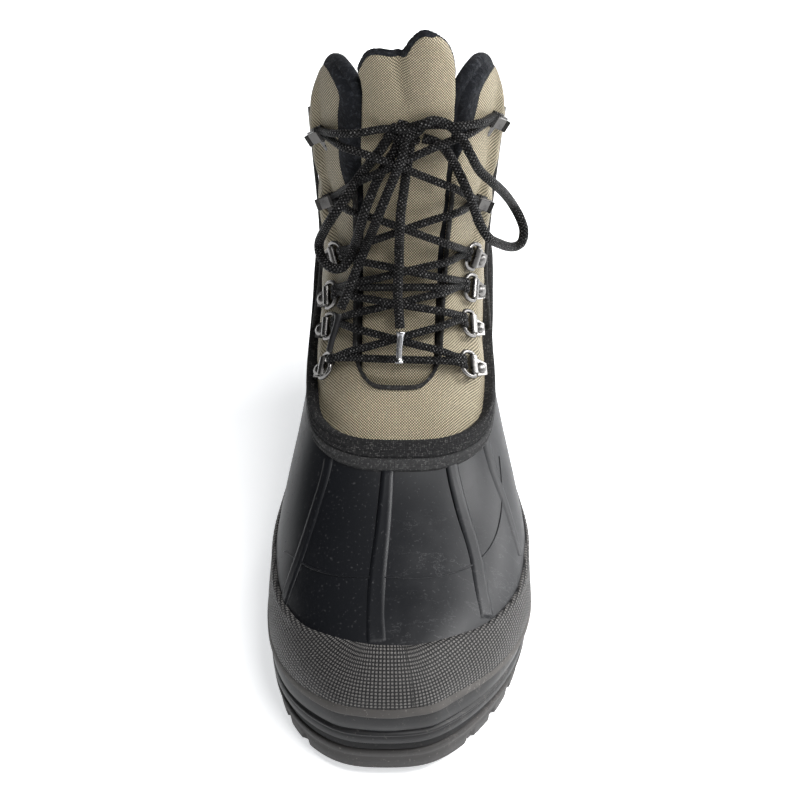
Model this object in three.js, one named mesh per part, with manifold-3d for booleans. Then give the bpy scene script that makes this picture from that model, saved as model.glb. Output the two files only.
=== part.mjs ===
// Hunting boot for the left foot, in mm: toe to -Y, outer side of the foot to +X, ground at z = 0.
import * as THREE from "three";
import { mergeVertices } from "three/addons/utils/BufferGeometryUtils.js";
import Module from "manifold-3d";

const wasm = await Module();
wasm.setup();

const LENGTH = 305;
const BALL_WIDTH = 118;
const COLLAR_HEIGHT = 250;
const GAP = 0.3;
const SHELL_WALL = 2.4;
const LINER_WALL = 2.6;
const SHAFT_WALL = 6;
const FLEECE = 3;
const TONGUE_PAD = 6.5;
const INSOLE_THICKNESS = 4;
const BAND_THICKNESS = 1.3;
const BAND_LOW = 11;
const BAND_HIGH = 2;
const WEBBING = 0.9;
const RIB_STEP = 1.3;
const THROAT_LOW = 117;
const THROAT_HALF_LOW = 0.161 * BALL_WIDTH;
const THROAT_HALF_HIGH = 0.212 * BALL_WIDTH;
const THROAT_CORNER = 11;
const THROAT_MIDDLE_LOW = -1.5;
const THROAT_MIDDLE_HIGH = 4;
const WEBBING_WIDTH = 6;
const SOLE_RIM = 2.2;
const GROOVE_DEPTH = 4.5;
const GROOVE_STRAIGHT = 18;
const FLEECE_IN = 4;
const FLEECE_LOW = 140;
const TONGUE_TOP_DEPTH = 4;
const TONGUE_FULL_HALF = 5;
const TONGUE_SINK = 6;
const VAMP_Z = 95;
const SHAFT_Z = 125;
const SHAFT_DEPTH = 0.68;
const WIDE = 90;
const CLIP_METAL = 1.1;
const CLIP_LENGTH = 9;
const CLIP_HALF = 4.3;
const CLIP_END_HALF = 2.6;
const RING_WIRE = 1.05;
const RING_WIDTH = 12;
const RING_REACH = 8;
const RING_LIFT = 0.12;
const RING_PLAY = 0.6;
const RIVET_RADIUS = 2.9;
const RIVET_IN = 3.3;
const HOOK_HALF = 3.4;
const HOOK_NECK = 4.5;
const LACE = 4.4;
const TIP = 4.8;
const KNOT_SIZE = [14, 11, 16];
const LOOPS = 26;
const AROUND = 24;
const TUBE_SIDES = 8;

const C = {
  nylon: 0x8c8469,
  fleece: 0x17181c,
  rubber: 0x2a2c31,
  webbing: 0x1d1e20,
  metal: 0x5b5e62,
  lace: 0x242527,
  sole: 0x1b1c1e,
};

// One row per section of the last, from the toe's tip to above the collar.
// topY, topZ, lowY, lowZ: the section's ends; inner, outer: half widths; middle: shift to the outer side;
// widest: where it is widest, from low to top; topPower, lowPower: how square its two halves are.
const SECTIONS = [
  [0.005, 0.172, 0.010, 0.088, 0.110, 0.060, -0.034, 0.50, 2.40, 3.00],
  [0.016, 0.196, 0.016, 0.084, 0.204, 0.145, -0.025, 0.46, 2.40, 3.20],
  [0.039, 0.218, 0.039, 0.082, 0.280, 0.199, -0.017, 0.42, 2.40, 3.60],
  [0.075, 0.238, 0.075, 0.078, 0.361, 0.272, -0.008, 0.38, 2.35, 4.00],
  [0.125, 0.258, 0.125, 0.070, 0.437, 0.368, 0.000, 0.34, 2.30, 4.50],
  [0.184, 0.278, 0.184, 0.062, 0.479, 0.445, 0.000, 0.32, 2.25, 5.00],
  [0.249, 0.306, 0.249, 0.058, 0.496, 0.488, 0.000, 0.30, 2.20, 5.00],
  [0.311, 0.340, 0.315, 0.056, 0.495, 0.496, 0.000, 0.29, 2.15, 5.00],
  [0.370, 0.386, 0.387, 0.056, 0.483, 0.492, 0.000, 0.28, 2.20, 5.00],
  [0.426, 0.447, 0.466, 0.060, 0.453, 0.462, 0.000, 0.27, 2.35, 5.00],
  [0.471, 0.504, 0.551, 0.068, 0.419, 0.428, 0.000, 0.27, 2.45, 5.00],
  [0.504, 0.557, 0.649, 0.080, 0.394, 0.394, 0.003, 0.28, 2.50, 4.50],
  [0.526, 0.604, 0.761, 0.094, 0.373, 0.369, 0.005, 0.30, 2.55, 4.00],
  [0.538, 0.648, 0.872, 0.104, 0.359, 0.362, 0.008, 0.33, 2.60, 3.20],
  [0.545, 0.691, 0.974, 0.132, 0.352, 0.357, 0.011, 0.37, 2.60, 2.60],
  [0.551, 0.742, 1.000, 0.261, 0.347, 0.355, 0.014, 0.41, 2.60, 2.30],
  [0.558, 0.802, 0.993, 0.418, 0.351, 0.359, 0.017, 0.45, 2.60, 2.20],
  [0.564, 0.869, 0.981, 0.579, 0.364, 0.368, 0.021, 0.48, 2.55, 2.20],
  [0.568, 0.944, 0.974, 0.732, 0.376, 0.381, 0.025, 0.50, 2.50, 2.20],
  [0.570, 1.027, 0.971, 0.877, 0.381, 0.385, 0.030, 0.50, 2.45, 2.20],
  [0.563, 1.146, 0.968, 1.046, 0.376, 0.381, 0.034, 0.50, 2.40, 2.20],
  [0.559, 1.221, 0.968, 1.167, 0.376, 0.381, 0.034, 0.50, 2.40, 2.20],
];
const UNITS = [LENGTH, COLLAR_HEIGHT, LENGTH, COLLAR_HEIGHT, BALL_WIDTH, BALL_WIDTH, BALL_WIDTH, 1, 1, 1];

// Side profiles: back from the toe as a share of LENGTH, height in mm.
const SOLE_TOP = [
  [-0.05, 27], [0.03, 25.5], [0.1, 23.5], [0.2, 21], [0.35, 20], [0.48, 21.5], [0.62, 26], [0.75, 30.5],
  [0.86, 33], [1.05, 34],
];
const OUTSOLE_TOP = [
  [-0.05, 19], [0.03, 17], [0.1, 14], [0.2, 11.5], [0.4, 11], [0.55, 13], [0.66, 17], [0.8, 18],
  [1.05, 18.5],
];
const GROUND = [
  [-0.05, 7], [0.0, 5.6], [0.06, 3], [0.13, 1], [0.19, 0], [0.4, 0], [0.5, 1.8], [0.66, 2.6],
  [0.685, 0], [0.96, 0], [1.02, 2.5], [1.05, 4],
];
const RIM = [
  [0.33, 112], [0.372, 97.4], [0.4, 97], [0.45, 97.5], [0.485, 100], [0.53, 101], [0.6, 102],
  [0.66, 103], [0.8, 106], [1.06, 108],
];
const BUMPER_TOP = [
  [-0.06, 62], [0.09, 58], [0.14, 53], [0.22, 49], [0.36, 46.5], [0.6, 47.5], [0.8, 50], [1.06, 54],
];
const COLLAR = [
  [0.42, 0.965], [0.58, 0.985], [0.625, 1.0], [0.66, 0.975], [0.7, 0.915], [0.76, 0.83], [0.85, 0.765],
  [1.06, 0.73],
];

// The sole's outline from above: back from the toe and half width, as shares of LENGTH and BALL_WIDTH.
const SOLE_OUTER = [
  [0.0, 0.06], [0.012, 0.14], [0.04, 0.225], [0.09, 0.322], [0.16, 0.42], [0.25, 0.49], [0.33, 0.507],
  [0.42, 0.498], [0.52, 0.462], [0.63, 0.405], [0.75, 0.372], [0.85, 0.356], [0.92, 0.31], [0.97, 0.22],
  [0.997, 0.08],
];
const SOLE_INNER = [
  [0.0, 0.16], [0.012, 0.245], [0.04, 0.33], [0.09, 0.415], [0.16, 0.478], [0.25, 0.505], [0.33, 0.5],
  [0.42, 0.475], [0.52, 0.43], [0.63, 0.375], [0.75, 0.355], [0.85, 0.343], [0.92, 0.29], [0.97, 0.19],
  [0.997, 0.06],
];

// Grooves across the tread: back from the toe as a share of LENGTH, then width and slant in mm.
const GROOVES = [
  [0.075, 4.5, -5],
  [0.135, 4.5, -6],
  [0.195, 4.5, -6],
  [0.255, 4.5, -5],
  [0.315, 4.5, -4],
  [0.375, 4.5, -3],
  [0.435, 4.5, -2],
  [0.745, 5, 3],
  [0.82, 5, 3],
  [0.895, 5, 3],
];

// Ribs from the shell's rim to the bumper: x in mm, back from the toe as a share of LENGTH, width in mm.
const RIBS = [
  [[-4.5, 0.365, 3.4], [-7.6, 0.268, 4.4], [-9.7, 0.191, 5.6], [-10.4, 0.088, 7]],
  [[-32.5, 0.385, 3.4], [-39.7, 0.32, 4.2], [-47.1, 0.257, 5], [-54.5, 0.18, 6]],
  [[23.5, 0.375, 3.4], [30.5, 0.297, 4.2], [34.7, 0.229, 5], [40, 0.14, 6]],
  [[39.4, 0.44, 3.4], [47.5, 0.358, 4.2], [54.5, 0.29, 5], [58, 0.26, 5.5]],
];

// Strip down each side of the shaft: back from the toe as a share of LENGTH, height in mm.
const PIPING = [[0.635, 88], [0.65, 88], [0.7, 160], [0.74, 252], [0.725, 252], [0.685, 160]];

// The tongue from the front: x in mm, height as a share of COLLAR_HEIGHT.
const TONGUE = [
  [-25, 0.42], [22, 0.42], [26, 0.5], [25, 0.8], [23.5, 0.96], [22.5, 1.03], [18.5, 1.075], [11, 1.1],
  [6, 1.088], [3, 1.068], [0.5, 1.05], [-4, 1.056], [-9, 1.058], [-13, 1.05], [-16, 1.025], [-18, 0.98],
  [-20, 0.8], [-27, 0.5],
];

// Clips with their rings, and hooks: back from the toe as a share of LENGTH, height in mm.
const HARDWARE = [
  ["lateral_1", 0.494, 115.6],
  ["lateral_2", 0.547, 126.7],
  ["lateral_3", 0.591, 137.8],
  ["lateral_4", 0.616, 150.4],
  ["hook_lateral_5", 0.648, 174],
  ["hook_lateral_6", 0.665, 216],
  ["medial_1", 0.499, 113.3],
  ["medial_2", 0.55, 124.6],
  ["medial_3", 0.59, 133.6],
  ["medial_4", 0.606, 153.5],
  ["hook_medial_5", 0.652, 174],
  ["hook_medial_6", 0.662, 209],
];

// Lace strands in the order they lie: from, to, how far the middle stands off the last.
const STRANDS = [
  ["medial_1", "lateral_1", 0.6],
  ["medial_1", "lateral_2", 1.2],
  ["lateral_1", "medial_2", 2.2],
  ["medial_2", "lateral_3", 1.2],
  ["lateral_2", "medial_3", 2.2],
  ["medial_3", "lateral_3", 0.6],
  ["medial_3", "lateral_4", 1.2],
  ["lateral_3", "medial_4", 2.2],
  ["medial_4", "hook_lateral_5", 1.2],
  ["lateral_4", "hook_medial_5", 2.2],
  ["hook_medial_5", "hook_lateral_6", 1.2],
  ["hook_lateral_5", "hook_medial_6", 2.2],
];

// The free parts of the lace: x in mm, back from the toe as a share of LENGTH, height in mm.
const CORDS = {
  lace_loop_lateral: [
    [10.1, 0.5779, 231.8],
    [14.9, 0.5797, 232.5],
    [21.5, 0.5735, 230],
    [27.2, 0.5603, 224.9],
    [31.1, 0.5493, 218.7],
    [35.4, 0.5594, 208.4],
    [41, 0.5729, 199.9],
    [46.5, 0.6053, 188],
    [51.7, 0.6421, 173.5],
    [55.5, 0.6374, 166.2],
    [56.9, 0.6276, 161.6],
    [55.6, 0.6199, 157],
    [51.3, 0.6082, 157.3],
    [45.4, 0.5782, 165.3],
    [40, 0.5509, 174.3],
    [36.2, 0.5491, 181.2],
    [33.4, 0.5498, 189.1],
    [30.6, 0.5487, 197.8],
    [27.5, 0.558, 204.4],
    [23.9, 0.5697, 210.5],
    [19.9, 0.5771, 216.9],
    [15.4, 0.5839, 220.8],
    [10.2, 0.5884, 222.6],
  ],
  lace_loop_medial: [
    [-3.5, 0.5915, 225.1],
    [-6.2, 0.5826, 221.6],
    [-8.8, 0.5745, 217.9],
    [-11.9, 0.5697, 213.1],
    [-16.4, 0.5679, 206.1],
    [-20.9, 0.5586, 200.6],
    [-25.3, 0.5444, 195],
    [-30.3, 0.5379, 187.8],
    [-34.6, 0.5528, 176.6],
    [-36.6, 0.5591, 168.8],
    [-35.2, 0.5442, 164.8],
    [-30.6, 0.5272, 162.9],
    [-25.6, 0.5255, 163.8],
    [-22, 0.5348, 167.9],
    [-20.2, 0.5408, 173.1],
    [-17.8, 0.5277, 184.5],
    [-15.5, 0.5275, 193.7],
    [-13.3, 0.5389, 198.2],
    [-10.6, 0.5523, 203.5],
    [-7.5, 0.5631, 208.7],
    [-4.9, 0.5713, 213.4],
    [-2.2, 0.5803, 217.3],
    [-0.9, 0.5883, 220.5],
  ],
  lace_end_a: [
    [4.4, 0.5876, 219.1],
    [4, 0.5785, 215.6],
    [3.1, 0.5639, 210.6],
    [2.2, 0.5473, 205],
    [1.3, 0.5338, 199.8],
    [0.4, 0.5213, 194.9],
    [0, 0.5147, 186.7],
    [-0.4, 0.5227, 175.3],
    [-0.4, 0.5108, 168.1],
    [-0.9, 0.4963, 161.4],
    [-0.9, 0.4877, 153.3],
    [-0.4, 0.4792, 147.4],
    [0, 0.4703, 142.2],
  ],
  lace_end_b: [
    [1.3, 0.5684, 219.1],
    [0, 0.5578, 215],
    [-1.8, 0.5485, 210],
    [-4, 0.5437, 204.1],
    [-6.2, 0.5367, 199.2],
    [-8.4, 0.5262, 195],
    [-10.2, 0.5222, 190],
    [-12.5, 0.5323, 181.4],
    [-14.8, 0.5378, 173.8],
    [-17, 0.5289, 169.1],
    [-19.3, 0.5171, 164.5],
    [-21.5, 0.5078, 160],
    [-23.8, 0.5018, 154.1],
    [-26.6, 0.4942, 148],
  ],
};
const TIPS = {
  lace_tip_a: [
    [0.4, 0.4691, 140.2],
    [0, 0.46, 136.7],
    [-0.4, 0.45, 132.8],
    [-0.4, 0.44, 128.9],
  ],
  lace_tip_b: [
    [-27.6, 0.504, 142.5],
    [-29, 0.4921, 137.8],
    [-30.8, 0.4803, 133.2],
    [-32.1, 0.4693, 128.9],
  ],
};
const KNOT = [3.1, 0.579, 226.5];

const lerp = (a, b, t) => a + (b - a) * t;
const ramp = (z, low, high) => {
  const t = Math.min(1, Math.max(0, (z - low) / (high - low)));
  return t * t * (3 - 2 * t);
};
const fromToe = (share) => share * LENGTH - LENGTH / 2;

function spline(rows, s) {
  const i = Math.min(Math.floor(s), rows.length - 2);
  const t = s - i;
  const row = (k) => rows[Math.min(Math.max(k, 0), rows.length - 1)];
  return rows[i].map((b, k) => {
    const [a, c, d] = [row(i - 1)[k], row(i + 1)[k], row(i + 2)[k]];
    return b + 0.5 * t * (c - a + t * (2 * a - 5 * b + 4 * c - d + t * (3 * (b - c) + d - a)));
  });
}

function profileHeight(profile, share) {
  let i = 0;
  while (i < profile.length - 2 && profile[i + 1][0] < share) i++;
  const [a, b] = [profile[i], profile[i + 1]];
  return lerp(a[1], b[1], (share - a[0]) / (b[0] - a[0]));
}

function lastPoint(s, v) {
  const [topY, topZ, lowY, lowZ, inner, outer, middle, widest, topPower, lowPower] = spline(SECTIONS, s).map(
    (value, k) => value * UNITS[k],
  );
  const c = Math.cos(v * 2 * Math.PI);
  const q = Math.sin(v * 2 * Math.PI);
  const power = 2 / (q > 0 ? topPower : lowPower);
  const side = Math.sign(c) * Math.abs(c) ** power * (c > 0 ? outer : inner);
  const along = widest + Math.sign(q) * Math.abs(q) ** power * (q > 0 ? 1 - widest : widest);
  return new THREE.Vector3(middle + side, lerp(lowY, topY, along) - LENGTH / 2, lerp(lowZ, topZ, along));
}

function lastNormal(s, v) {
  const last = SECTIONS.length - 1;
  const h = 0.004;
  const along = lastPoint(Math.min(last, s + 0.05), v).sub(lastPoint(Math.max(0, s - 0.05), v));
  const around = lastPoint(s, v + h).sub(lastPoint(s, v - h));
  return along.cross(around).normalize();
}

// The closed form that lies `offset(point)` outside the last.
function last(offset) {
  const points = [];
  const rings = LOOPS + 1;
  for (let i = 0; i < rings; i++) {
    const s = (i / LOOPS) ** 1.06 * (SECTIONS.length - 1);
    for (let j = 0; j < AROUND; j++) {
      const v = (j + 0.5) / AROUND;
      const p = lastPoint(s, v);
      const d = offset(p);
      p.addScaledVector(lastNormal(s, v), d);
      if (d < 0) p.y = Math.max(p.y, 1.5 - LENGTH / 2 - d);
      points.push(p);
    }
  }
  return closedLoft(points, rings, AROUND);
}

function closedLoft(points, rings, around) {
  const at = (i, j) => i * around + (j % around);
  const faces = [];
  for (let i = 0; i < rings - 1; i++)
    for (let j = 0; j < around; j++) {
      faces.push(at(i, j), at(i + 1, j), at(i + 1, j + 1));
      faces.push(at(i, j), at(i + 1, j + 1), at(i, j + 1));
    }
  const all = [...points];
  for (const [ring, turn] of [[0, 0], [rings - 1, 1]]) {
    const centre = new THREE.Vector3();
    for (let j = 0; j < around; j++) centre.addScaledVector(points[at(ring, j)], 1 / around);
    all.push(centre);
    for (let j = 0; j < around; j++) faces.push(all.length - 1, at(ring, j + turn), at(ring, j + 1 - turn));
  }
  return manifold(new Float32Array(all.flatMap((p) => p.toArray())), new Uint32Array(faces));
}

function manifold(vertProperties, triVerts) {
  return new wasm.Manifold(new wasm.Mesh({ numProp: 3, vertProperties, triVerts }));
}

function solid(geometry) {
  const bare = geometry.clone();
  bare.deleteAttribute("normal");
  bare.deleteAttribute("uv");
  const merged = mergeVertices(bare, 1e-4);
  return manifold(new Float32Array(merged.attributes.position.array), new Uint32Array(merged.index.array));
}

function extrude(outline, depth) {
  const shape = new THREE.Shape(outline.map(([x, y]) => new THREE.Vector2(x, y)));
  return new THREE.ExtrudeGeometry(shape, { depth, bevelEnabled: false, steps: 1 });
}

// An outline of [y, z] carried across the boot.
function acrossPrism(outline, x0, x1) {
  const turn = new THREE.Matrix4().set(0, 0, 1, x0, 1, 0, 0, 0, 0, 1, 0, 0, 0, 0, 0, 1);
  return solid(extrude(outline, x1 - x0).applyMatrix4(turn));
}

// An outline of [x, z] carried along y.
function yExtrusion(outline, y0, y1) {
  const turn = new THREE.Matrix4().set(1, 0, 0, 0, 0, 0, -1, y1, 0, 1, 0, 0, 0, 0, 0, 1);
  return extrude(outline, y1 - y0).applyMatrix4(turn);
}

const alongPrism = (outline, y0, y1) => solid(yExtrusion(outline, y0, y1));

// An outline of [x, y] carried upwards.
function upPrism(outline, z0, z1) {
  return solid(extrude(outline, z1 - z0).translate(0, 0, z0));
}

// The main body of a cut, without slivers.
const mainBody = (cut) => cut.decompose().reduce((a, b) => (b.volume() > a.volume() ? b : a));

const curve = (profile, lift = 0, unit = 1) => profile.map(([share, z]) => [fromToe(share), z * unit + lift]);
const above = (profile, lift, unit, z = 330) => {
  const line = curve(profile, lift, unit);
  return acrossPrism([...line, [line.at(-1)[0], z], [line[0][0], z]], -WIDE, WIDE);
};
const below = (profile, lift, unit, z = -20) => {
  const line = curve(profile, lift, unit);
  return acrossPrism([[line[0][0], z], [line.at(-1)[0], z], ...line.reverse()], -WIDE, WIDE);
};

function throatMiddle(z) {
  return lerp(THROAT_MIDDLE_LOW, THROAT_MIDDLE_HIGH, (z - THROAT_LOW) / (COLLAR_HEIGHT - THROAT_LOW));
}

function throatPrism(grow, depth) {
  const low = THROAT_HALF_LOW + grow;
  const corner = THROAT_CORNER + grow;
  const outline = [];
  for (const side of [-1, 1])
    for (let k = 0; k <= 4; k++) {
      const turn = ((side < 0 ? k : 4 - k) * Math.PI) / 8;
      const x = side * (low - corner + corner * Math.cos(turn));
      outline.push([throatMiddle(THROAT_LOW) + x, THROAT_LOW - grow + corner - corner * Math.sin(turn)]);
    }
  const top = COLLAR_HEIGHT * 1.3;
  outline.push([throatMiddle(top) + THROAT_HALF_HIGH + grow, top]);
  outline.push([throatMiddle(top) - THROAT_HALF_HIGH - grow, top]);
  return alongPrism(outline, fromToe(0.25), fromToe(depth));
}

const soleOutline = (inset) => [
  ...SOLE_OUTER.map(([share, half]) => [half * BALL_WIDTH - inset, share]),
  ...SOLE_INNER.map(([share, half]) => [-half * BALL_WIDTH + inset, share]).reverse(),
].map(([x, share]) => [x, fromToe(share) + inset * (1 - 2 * share)]);

const floor = below(SOLE_TOP, GAP, 1, -30);
const overCollar = above(COLLAR, 0, COLLAR_HEIGHT);
const wall = (p) => SHELL_WALL + GAP + lerp(LINER_WALL, SHAFT_WALL, ramp(p.z, VAMP_Z, SHAFT_Z));

const outerForm = last(() => 0);
const insideForm = last((p) => -wall(p));

const nodes = {};

// Shell with its ribs and bumper, and the band over its edge.
const overRim = above(RIM, -1, 1);
const ribPrisms = RIBS.map((rib) => {
  const side = (sign) => rib.map(([x, share, width]) => [x + (sign * width) / 2, fromToe(share)]);
  return upPrism([...side(1), ...side(-1).reverse()], 30, 140);
});
const raised = last(() => RIB_STEP);
const ribZone = above(BUMPER_TOP, -2, 1).subtract(above(RIM, -BAND_LOW - 1, 1));
let shell = outerForm.add(raised.intersect(below(BUMPER_TOP, 0, 1)));
for (const prism of ribPrisms) shell = shell.add(raised.intersect(prism).intersect(ribZone));
shell = shell.subtract(last(() => -SHELL_WALL)).subtract(floor).subtract(overRim);
nodes.shell = [shell, C.rubber, 0.5];

const bandForm = last(() => GAP + BAND_THICKNESS).subtract(last(() => GAP - SHELL_WALL - GAP));
const covered = last(() => GAP).intersect(below(RIM, GAP - 1, 1));
const band = bandForm.intersect(above(RIM, -BAND_LOW, 1)).intersect(below(RIM, BAND_HIGH, 1));
nodes.rim_binding = [band.subtract(covered), C.webbing, 0.8];

// Shaft, its bindings and its fleece.
const linerForm = last(() => -SHELL_WALL - GAP);
const throat = throatPrism(0, SHAFT_DEPTH);
const upper = linerForm.subtract(insideForm).subtract(floor).subtract(overCollar).subtract(throat);
nodes.upper = [upper, C.nylon, 0.9];

const webbingForm = last(() => WEBBING - SHELL_WALL).subtract(last(() => -SHELL_WALL));
const overBand = above(RIM, BAND_HIGH + GAP, 1);
const underCollar = below(COLLAR, -1, COLLAR_HEIGHT);
const webbing = webbingForm.intersect(throatPrism(WEBBING_WIDTH, SHAFT_DEPTH - 0.02));
const binding = webbing.subtract(throat).intersect(underCollar);
nodes.throat_binding = [binding.intersect(overBand), C.webbing, 0.8];
for (const [name, x0, x1] of [["side_piping_lateral", 5, WIDE], ["side_piping_medial", -WIDE, -5]]) {
  const strip = acrossPrism(PIPING.map(([share, z]) => [fromToe(share), z]), x0, x1);
  nodes[name] = [webbingForm.intersect(strip).intersect(underCollar).intersect(overBand), C.webbing, 0.8];
}

const fleeceForm = last((p) => -wall(p) - GAP).subtract(last((p) => -wall(p) - GAP - FLEECE));
const fleeceCut = throatPrism(-FLEECE_IN, SHAFT_DEPTH);
const collarBand = above([[0.3, FLEECE_LOW], [1.1, FLEECE_LOW]], 0, 1);
const lining = fleeceForm.intersect(collarBand).subtract(fleeceCut).intersect(underCollar);
nodes.collar_lining = [lining, C.fleece, 1];

// Tongue: inside the shaft's wall and the fleece, and full between the edges of the throat.
const tongueDepth = (p) => wall(p) + GAP + (FLEECE + GAP) * ramp(p.z, FLEECE_LOW - 36, FLEECE_LOW - 20);
const fullness = (p) => {
  const off = Math.abs(p.x - throatMiddle(p.z));
  const middle = 1 - ramp(off, TONGUE_FULL_HALF, TONGUE_FULL_HALF + TONGUE_SINK);
  return (tongueDepth(p) - TONGUE_TOP_DEPTH) * middle * ramp(p.z, THROAT_LOW + 7, THROAT_LOW + 21);
};
const tongueBack = last((p) => -tongueDepth(p) - TONGUE_PAD);
const tongueForm = last((p) => fullness(p) - tongueDepth(p)).subtract(tongueBack);
const tongueOutline = TONGUE.map(([x, z]) => [x, z * COLLAR_HEIGHT]);
nodes.tongue = [tongueForm.intersect(alongPrism(tongueOutline, fromToe(0.3), fromToe(0.68))), C.nylon, 0.9];

// Sole and insole.
let outsole = upPrism(soleOutline(0), -5, 40);
outsole = outsole.intersect(above(GROUND, 0, 1)).intersect(below(OUTSOLE_TOP, 0, 1));
const grooveRoof = below(GROUND, GROOVE_DEPTH, 1);
for (const [share, width, slant] of GROOVES) {
  const y = fromToe(share);
  const half = width / 2;
  const edge = (side) => [
    [-WIDE, y + slant + side * half],
    [-GROOVE_STRAIGHT, y + side * half],
    [GROOVE_STRAIGHT, y + side * half],
    [WIDE, y + slant + side * half],
  ];
  const zigzag = [...edge(-1), ...edge(1).reverse()];
  outsole = outsole.subtract(upPrism(zigzag, -10, 30).intersect(grooveRoof));
}
nodes.outsole = [outsole, C.sole, 0.8];
const midsole = upPrism(soleOutline(SOLE_RIM), -5, 60).intersect(above(OUTSOLE_TOP, GAP / 2, 1));
nodes.midsole = [midsole.intersect(below(SOLE_TOP, 0, 1)), C.rubber, 0.7];
const insole = last((p) => -wall(p) - GAP).intersect(above(SOLE_TOP, GAP, 1));
nodes.insole = [insole.intersect(below(SOLE_TOP, GAP + INSOLE_THICKNESS, 1)), C.fleece, 1];

// Where a height and a place back from the toe meet the shaft on one side, with the surface's own axes there.
function seat(side, share, height) {
  const best = { miss: Infinity };
  for (let s = 8; s < 20.5; s += 0.04)
    for (let v = 0; v <= 0.25; v += 0.004) {
      const turn = side > 0 ? v : 0.5 - v;
      const p = lastPoint(s, turn);
      const miss = Math.hypot(p.y - fromToe(share), p.z - height);
      if (miss < best.miss) Object.assign(best, { miss, s, turn, p });
    }
  const out = lastNormal(best.s, best.turn);
  const up = lastPoint(best.s + 0.1, best.turn).sub(lastPoint(best.s - 0.1, best.turn)).normalize();
  const inward = new THREE.Vector3().crossVectors(out, up).multiplyScalar(side).normalize();
  up.crossVectors(inward, out).multiplyScalar(side).normalize();
  const base = best.p.addScaledVector(out, -SHELL_WALL);
  const place = (a, b, c) =>
    base.clone().addScaledVector(inward, a).addScaledVector(up, b).addScaledVector(out, c);
  return { base, out, up, inward, side, place };
}

// A piece drawn in the seat's axes: x towards the throat, y up the boot, z off the cloth.
function fit(geometry, at) {
  const axes = new THREE.Matrix4().makeBasis(at.inward, at.up, at.out).setPosition(at.base);
  const placed = geometry.index ? geometry.toNonIndexed() : geometry.clone();
  const made = solid(placed);
  const mesh = made.getMesh();
  const points = new Float32Array(mesh.vertProperties);
  const corner = new THREE.Vector3();
  for (let k = 0; k < points.length; k += 3)
    corner.fromArray(points, k).applyMatrix4(axes).toArray(points, k);
  const faces = new Uint32Array(mesh.triVerts);
  for (let k = 0; k < faces.length && at.side > 0; k += 3)
    [faces[k], faces[k + 1]] = [faces[k + 1], faces[k]];
  return manifold(points, faces);
}

function tube(points, radius, steps, sides = TUBE_SIDES) {
  const path = new THREE.CatmullRomCurve3(points, false, "centripetal");
  const round = Array.from({ length: sides }, (_, k) => {
    const turn = (2 * Math.PI * (k + 0.5)) / sides;
    return new THREE.Vector2(radius * Math.cos(turn), radius * Math.sin(turn));
  });
  return new THREE.ExtrudeGeometry(new THREE.Shape(round), { steps, bevelEnabled: false, extrudePath: path });
}

const barHeight = GAP + CLIP_METAL + RING_PLAY + RING_WIRE;
const clipOuter = RING_WIRE + RING_PLAY + CLIP_METAL;

function clip(at) {
  const edge = [
    [-CLIP_LENGTH, CLIP_END_HALF],
    [1.2 - CLIP_LENGTH, CLIP_END_HALF + 0.8],
    [-2, CLIP_HALF],
    [0.6, CLIP_HALF],
  ];
  const outline = [...edge, ...edge.map(([x, y]) => [x, -y]).reverse()];
  const plate = solid(extrude(outline, CLIP_METAL).translate(0, 0, GAP));
  const fold = new THREE.CylinderGeometry(clipOuter, clipOuter, 2 * CLIP_HALF, 8).translate(0, 0, barHeight);
  const free = RING_WIRE + RING_PLAY;
  const bore = new THREE.CylinderGeometry(free, free, 4 * CLIP_HALF, 8).translate(0, 0, barHeight);
  const dome = new THREE.CylinderGeometry(1.6, RIVET_RADIUS, 1.8, 8).rotateX(Math.PI / 2);
  dome.translate(RIVET_IN - CLIP_LENGTH, 0, GAP + CLIP_METAL + 0.8);
  const joined = plate.add(solid(fold)).subtract(solid(bore)).add(solid(dome)).getMesh();
  const geometry = new THREE.BufferGeometry();
  geometry.setAttribute("position", new THREE.BufferAttribute(joined.vertProperties, 3));
  geometry.setIndex(new THREE.BufferAttribute(joined.triVerts, 1));
  return fit(geometry, at);
}

function ring(at) {
  const half = RING_WIDTH / 2;
  const shape = new THREE.Shape();
  const r = RING_WIRE;
  shape.moveTo(-r, -half - r);
  shape.lineTo(r, -half - r);
  shape.quadraticCurveTo(RING_REACH + r, -half, RING_REACH + r, 0);
  shape.quadraticCurveTo(RING_REACH + r, half, r, half + r);
  shape.lineTo(-r, half + r);
  const hole = new THREE.Path();
  hole.moveTo(r, -half + r);
  hole.lineTo(r, half - r);
  hole.quadraticCurveTo(RING_REACH - r, half - r, RING_REACH - r, 0);
  hole.quadraticCurveTo(RING_REACH - r, -half + r, r, -half + r);
  shape.holes.push(hole);
  const flat = new THREE.ExtrudeGeometry(shape, { depth: 1.5 * r, bevelEnabled: false, curveSegments: 3 });
  flat.translate(0, 0, -0.75 * r).rotateY(-RING_LIFT).translate(0, 0, barHeight);
  return fit(flat, at);
}

function hook(at) {
  const t = CLIP_METAL;
  const low = GAP;
  const n = HOOK_NECK;
  const outside = [[-5, low], [n, low], [n, low + 5], [n - 1.5, low + 6.4], [-3, low + 5.8], [-4.5, low + 7]];
  const tip = [[-5.1, low + 6], [-3.4, low + 4.6]];
  const inside = [[n - 1.5, low + 5.2], [n - t, low + 4.4], [n - t, low + t], [-5, low + t]];
  const outline = [...outside, ...tip, ...inside];
  return fit(yExtrusion(outline, -HOOK_HALF, HOOK_HALF), at);
}

const seats = {};
for (const [name, share, height] of HARDWARE) {
  const at = seat(name.includes("lateral") ? 1 : -1, share, height);
  seats[name] = at;
  if (name.startsWith("hook")) nodes[name] = [hook(at), C.metal, 0.35];
  else {
    nodes["clip_" + name] = [clip(at), C.metal, 0.35];
    nodes["d_ring_" + name] = [ring(at), C.metal, 0.3];
  }
}

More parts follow.
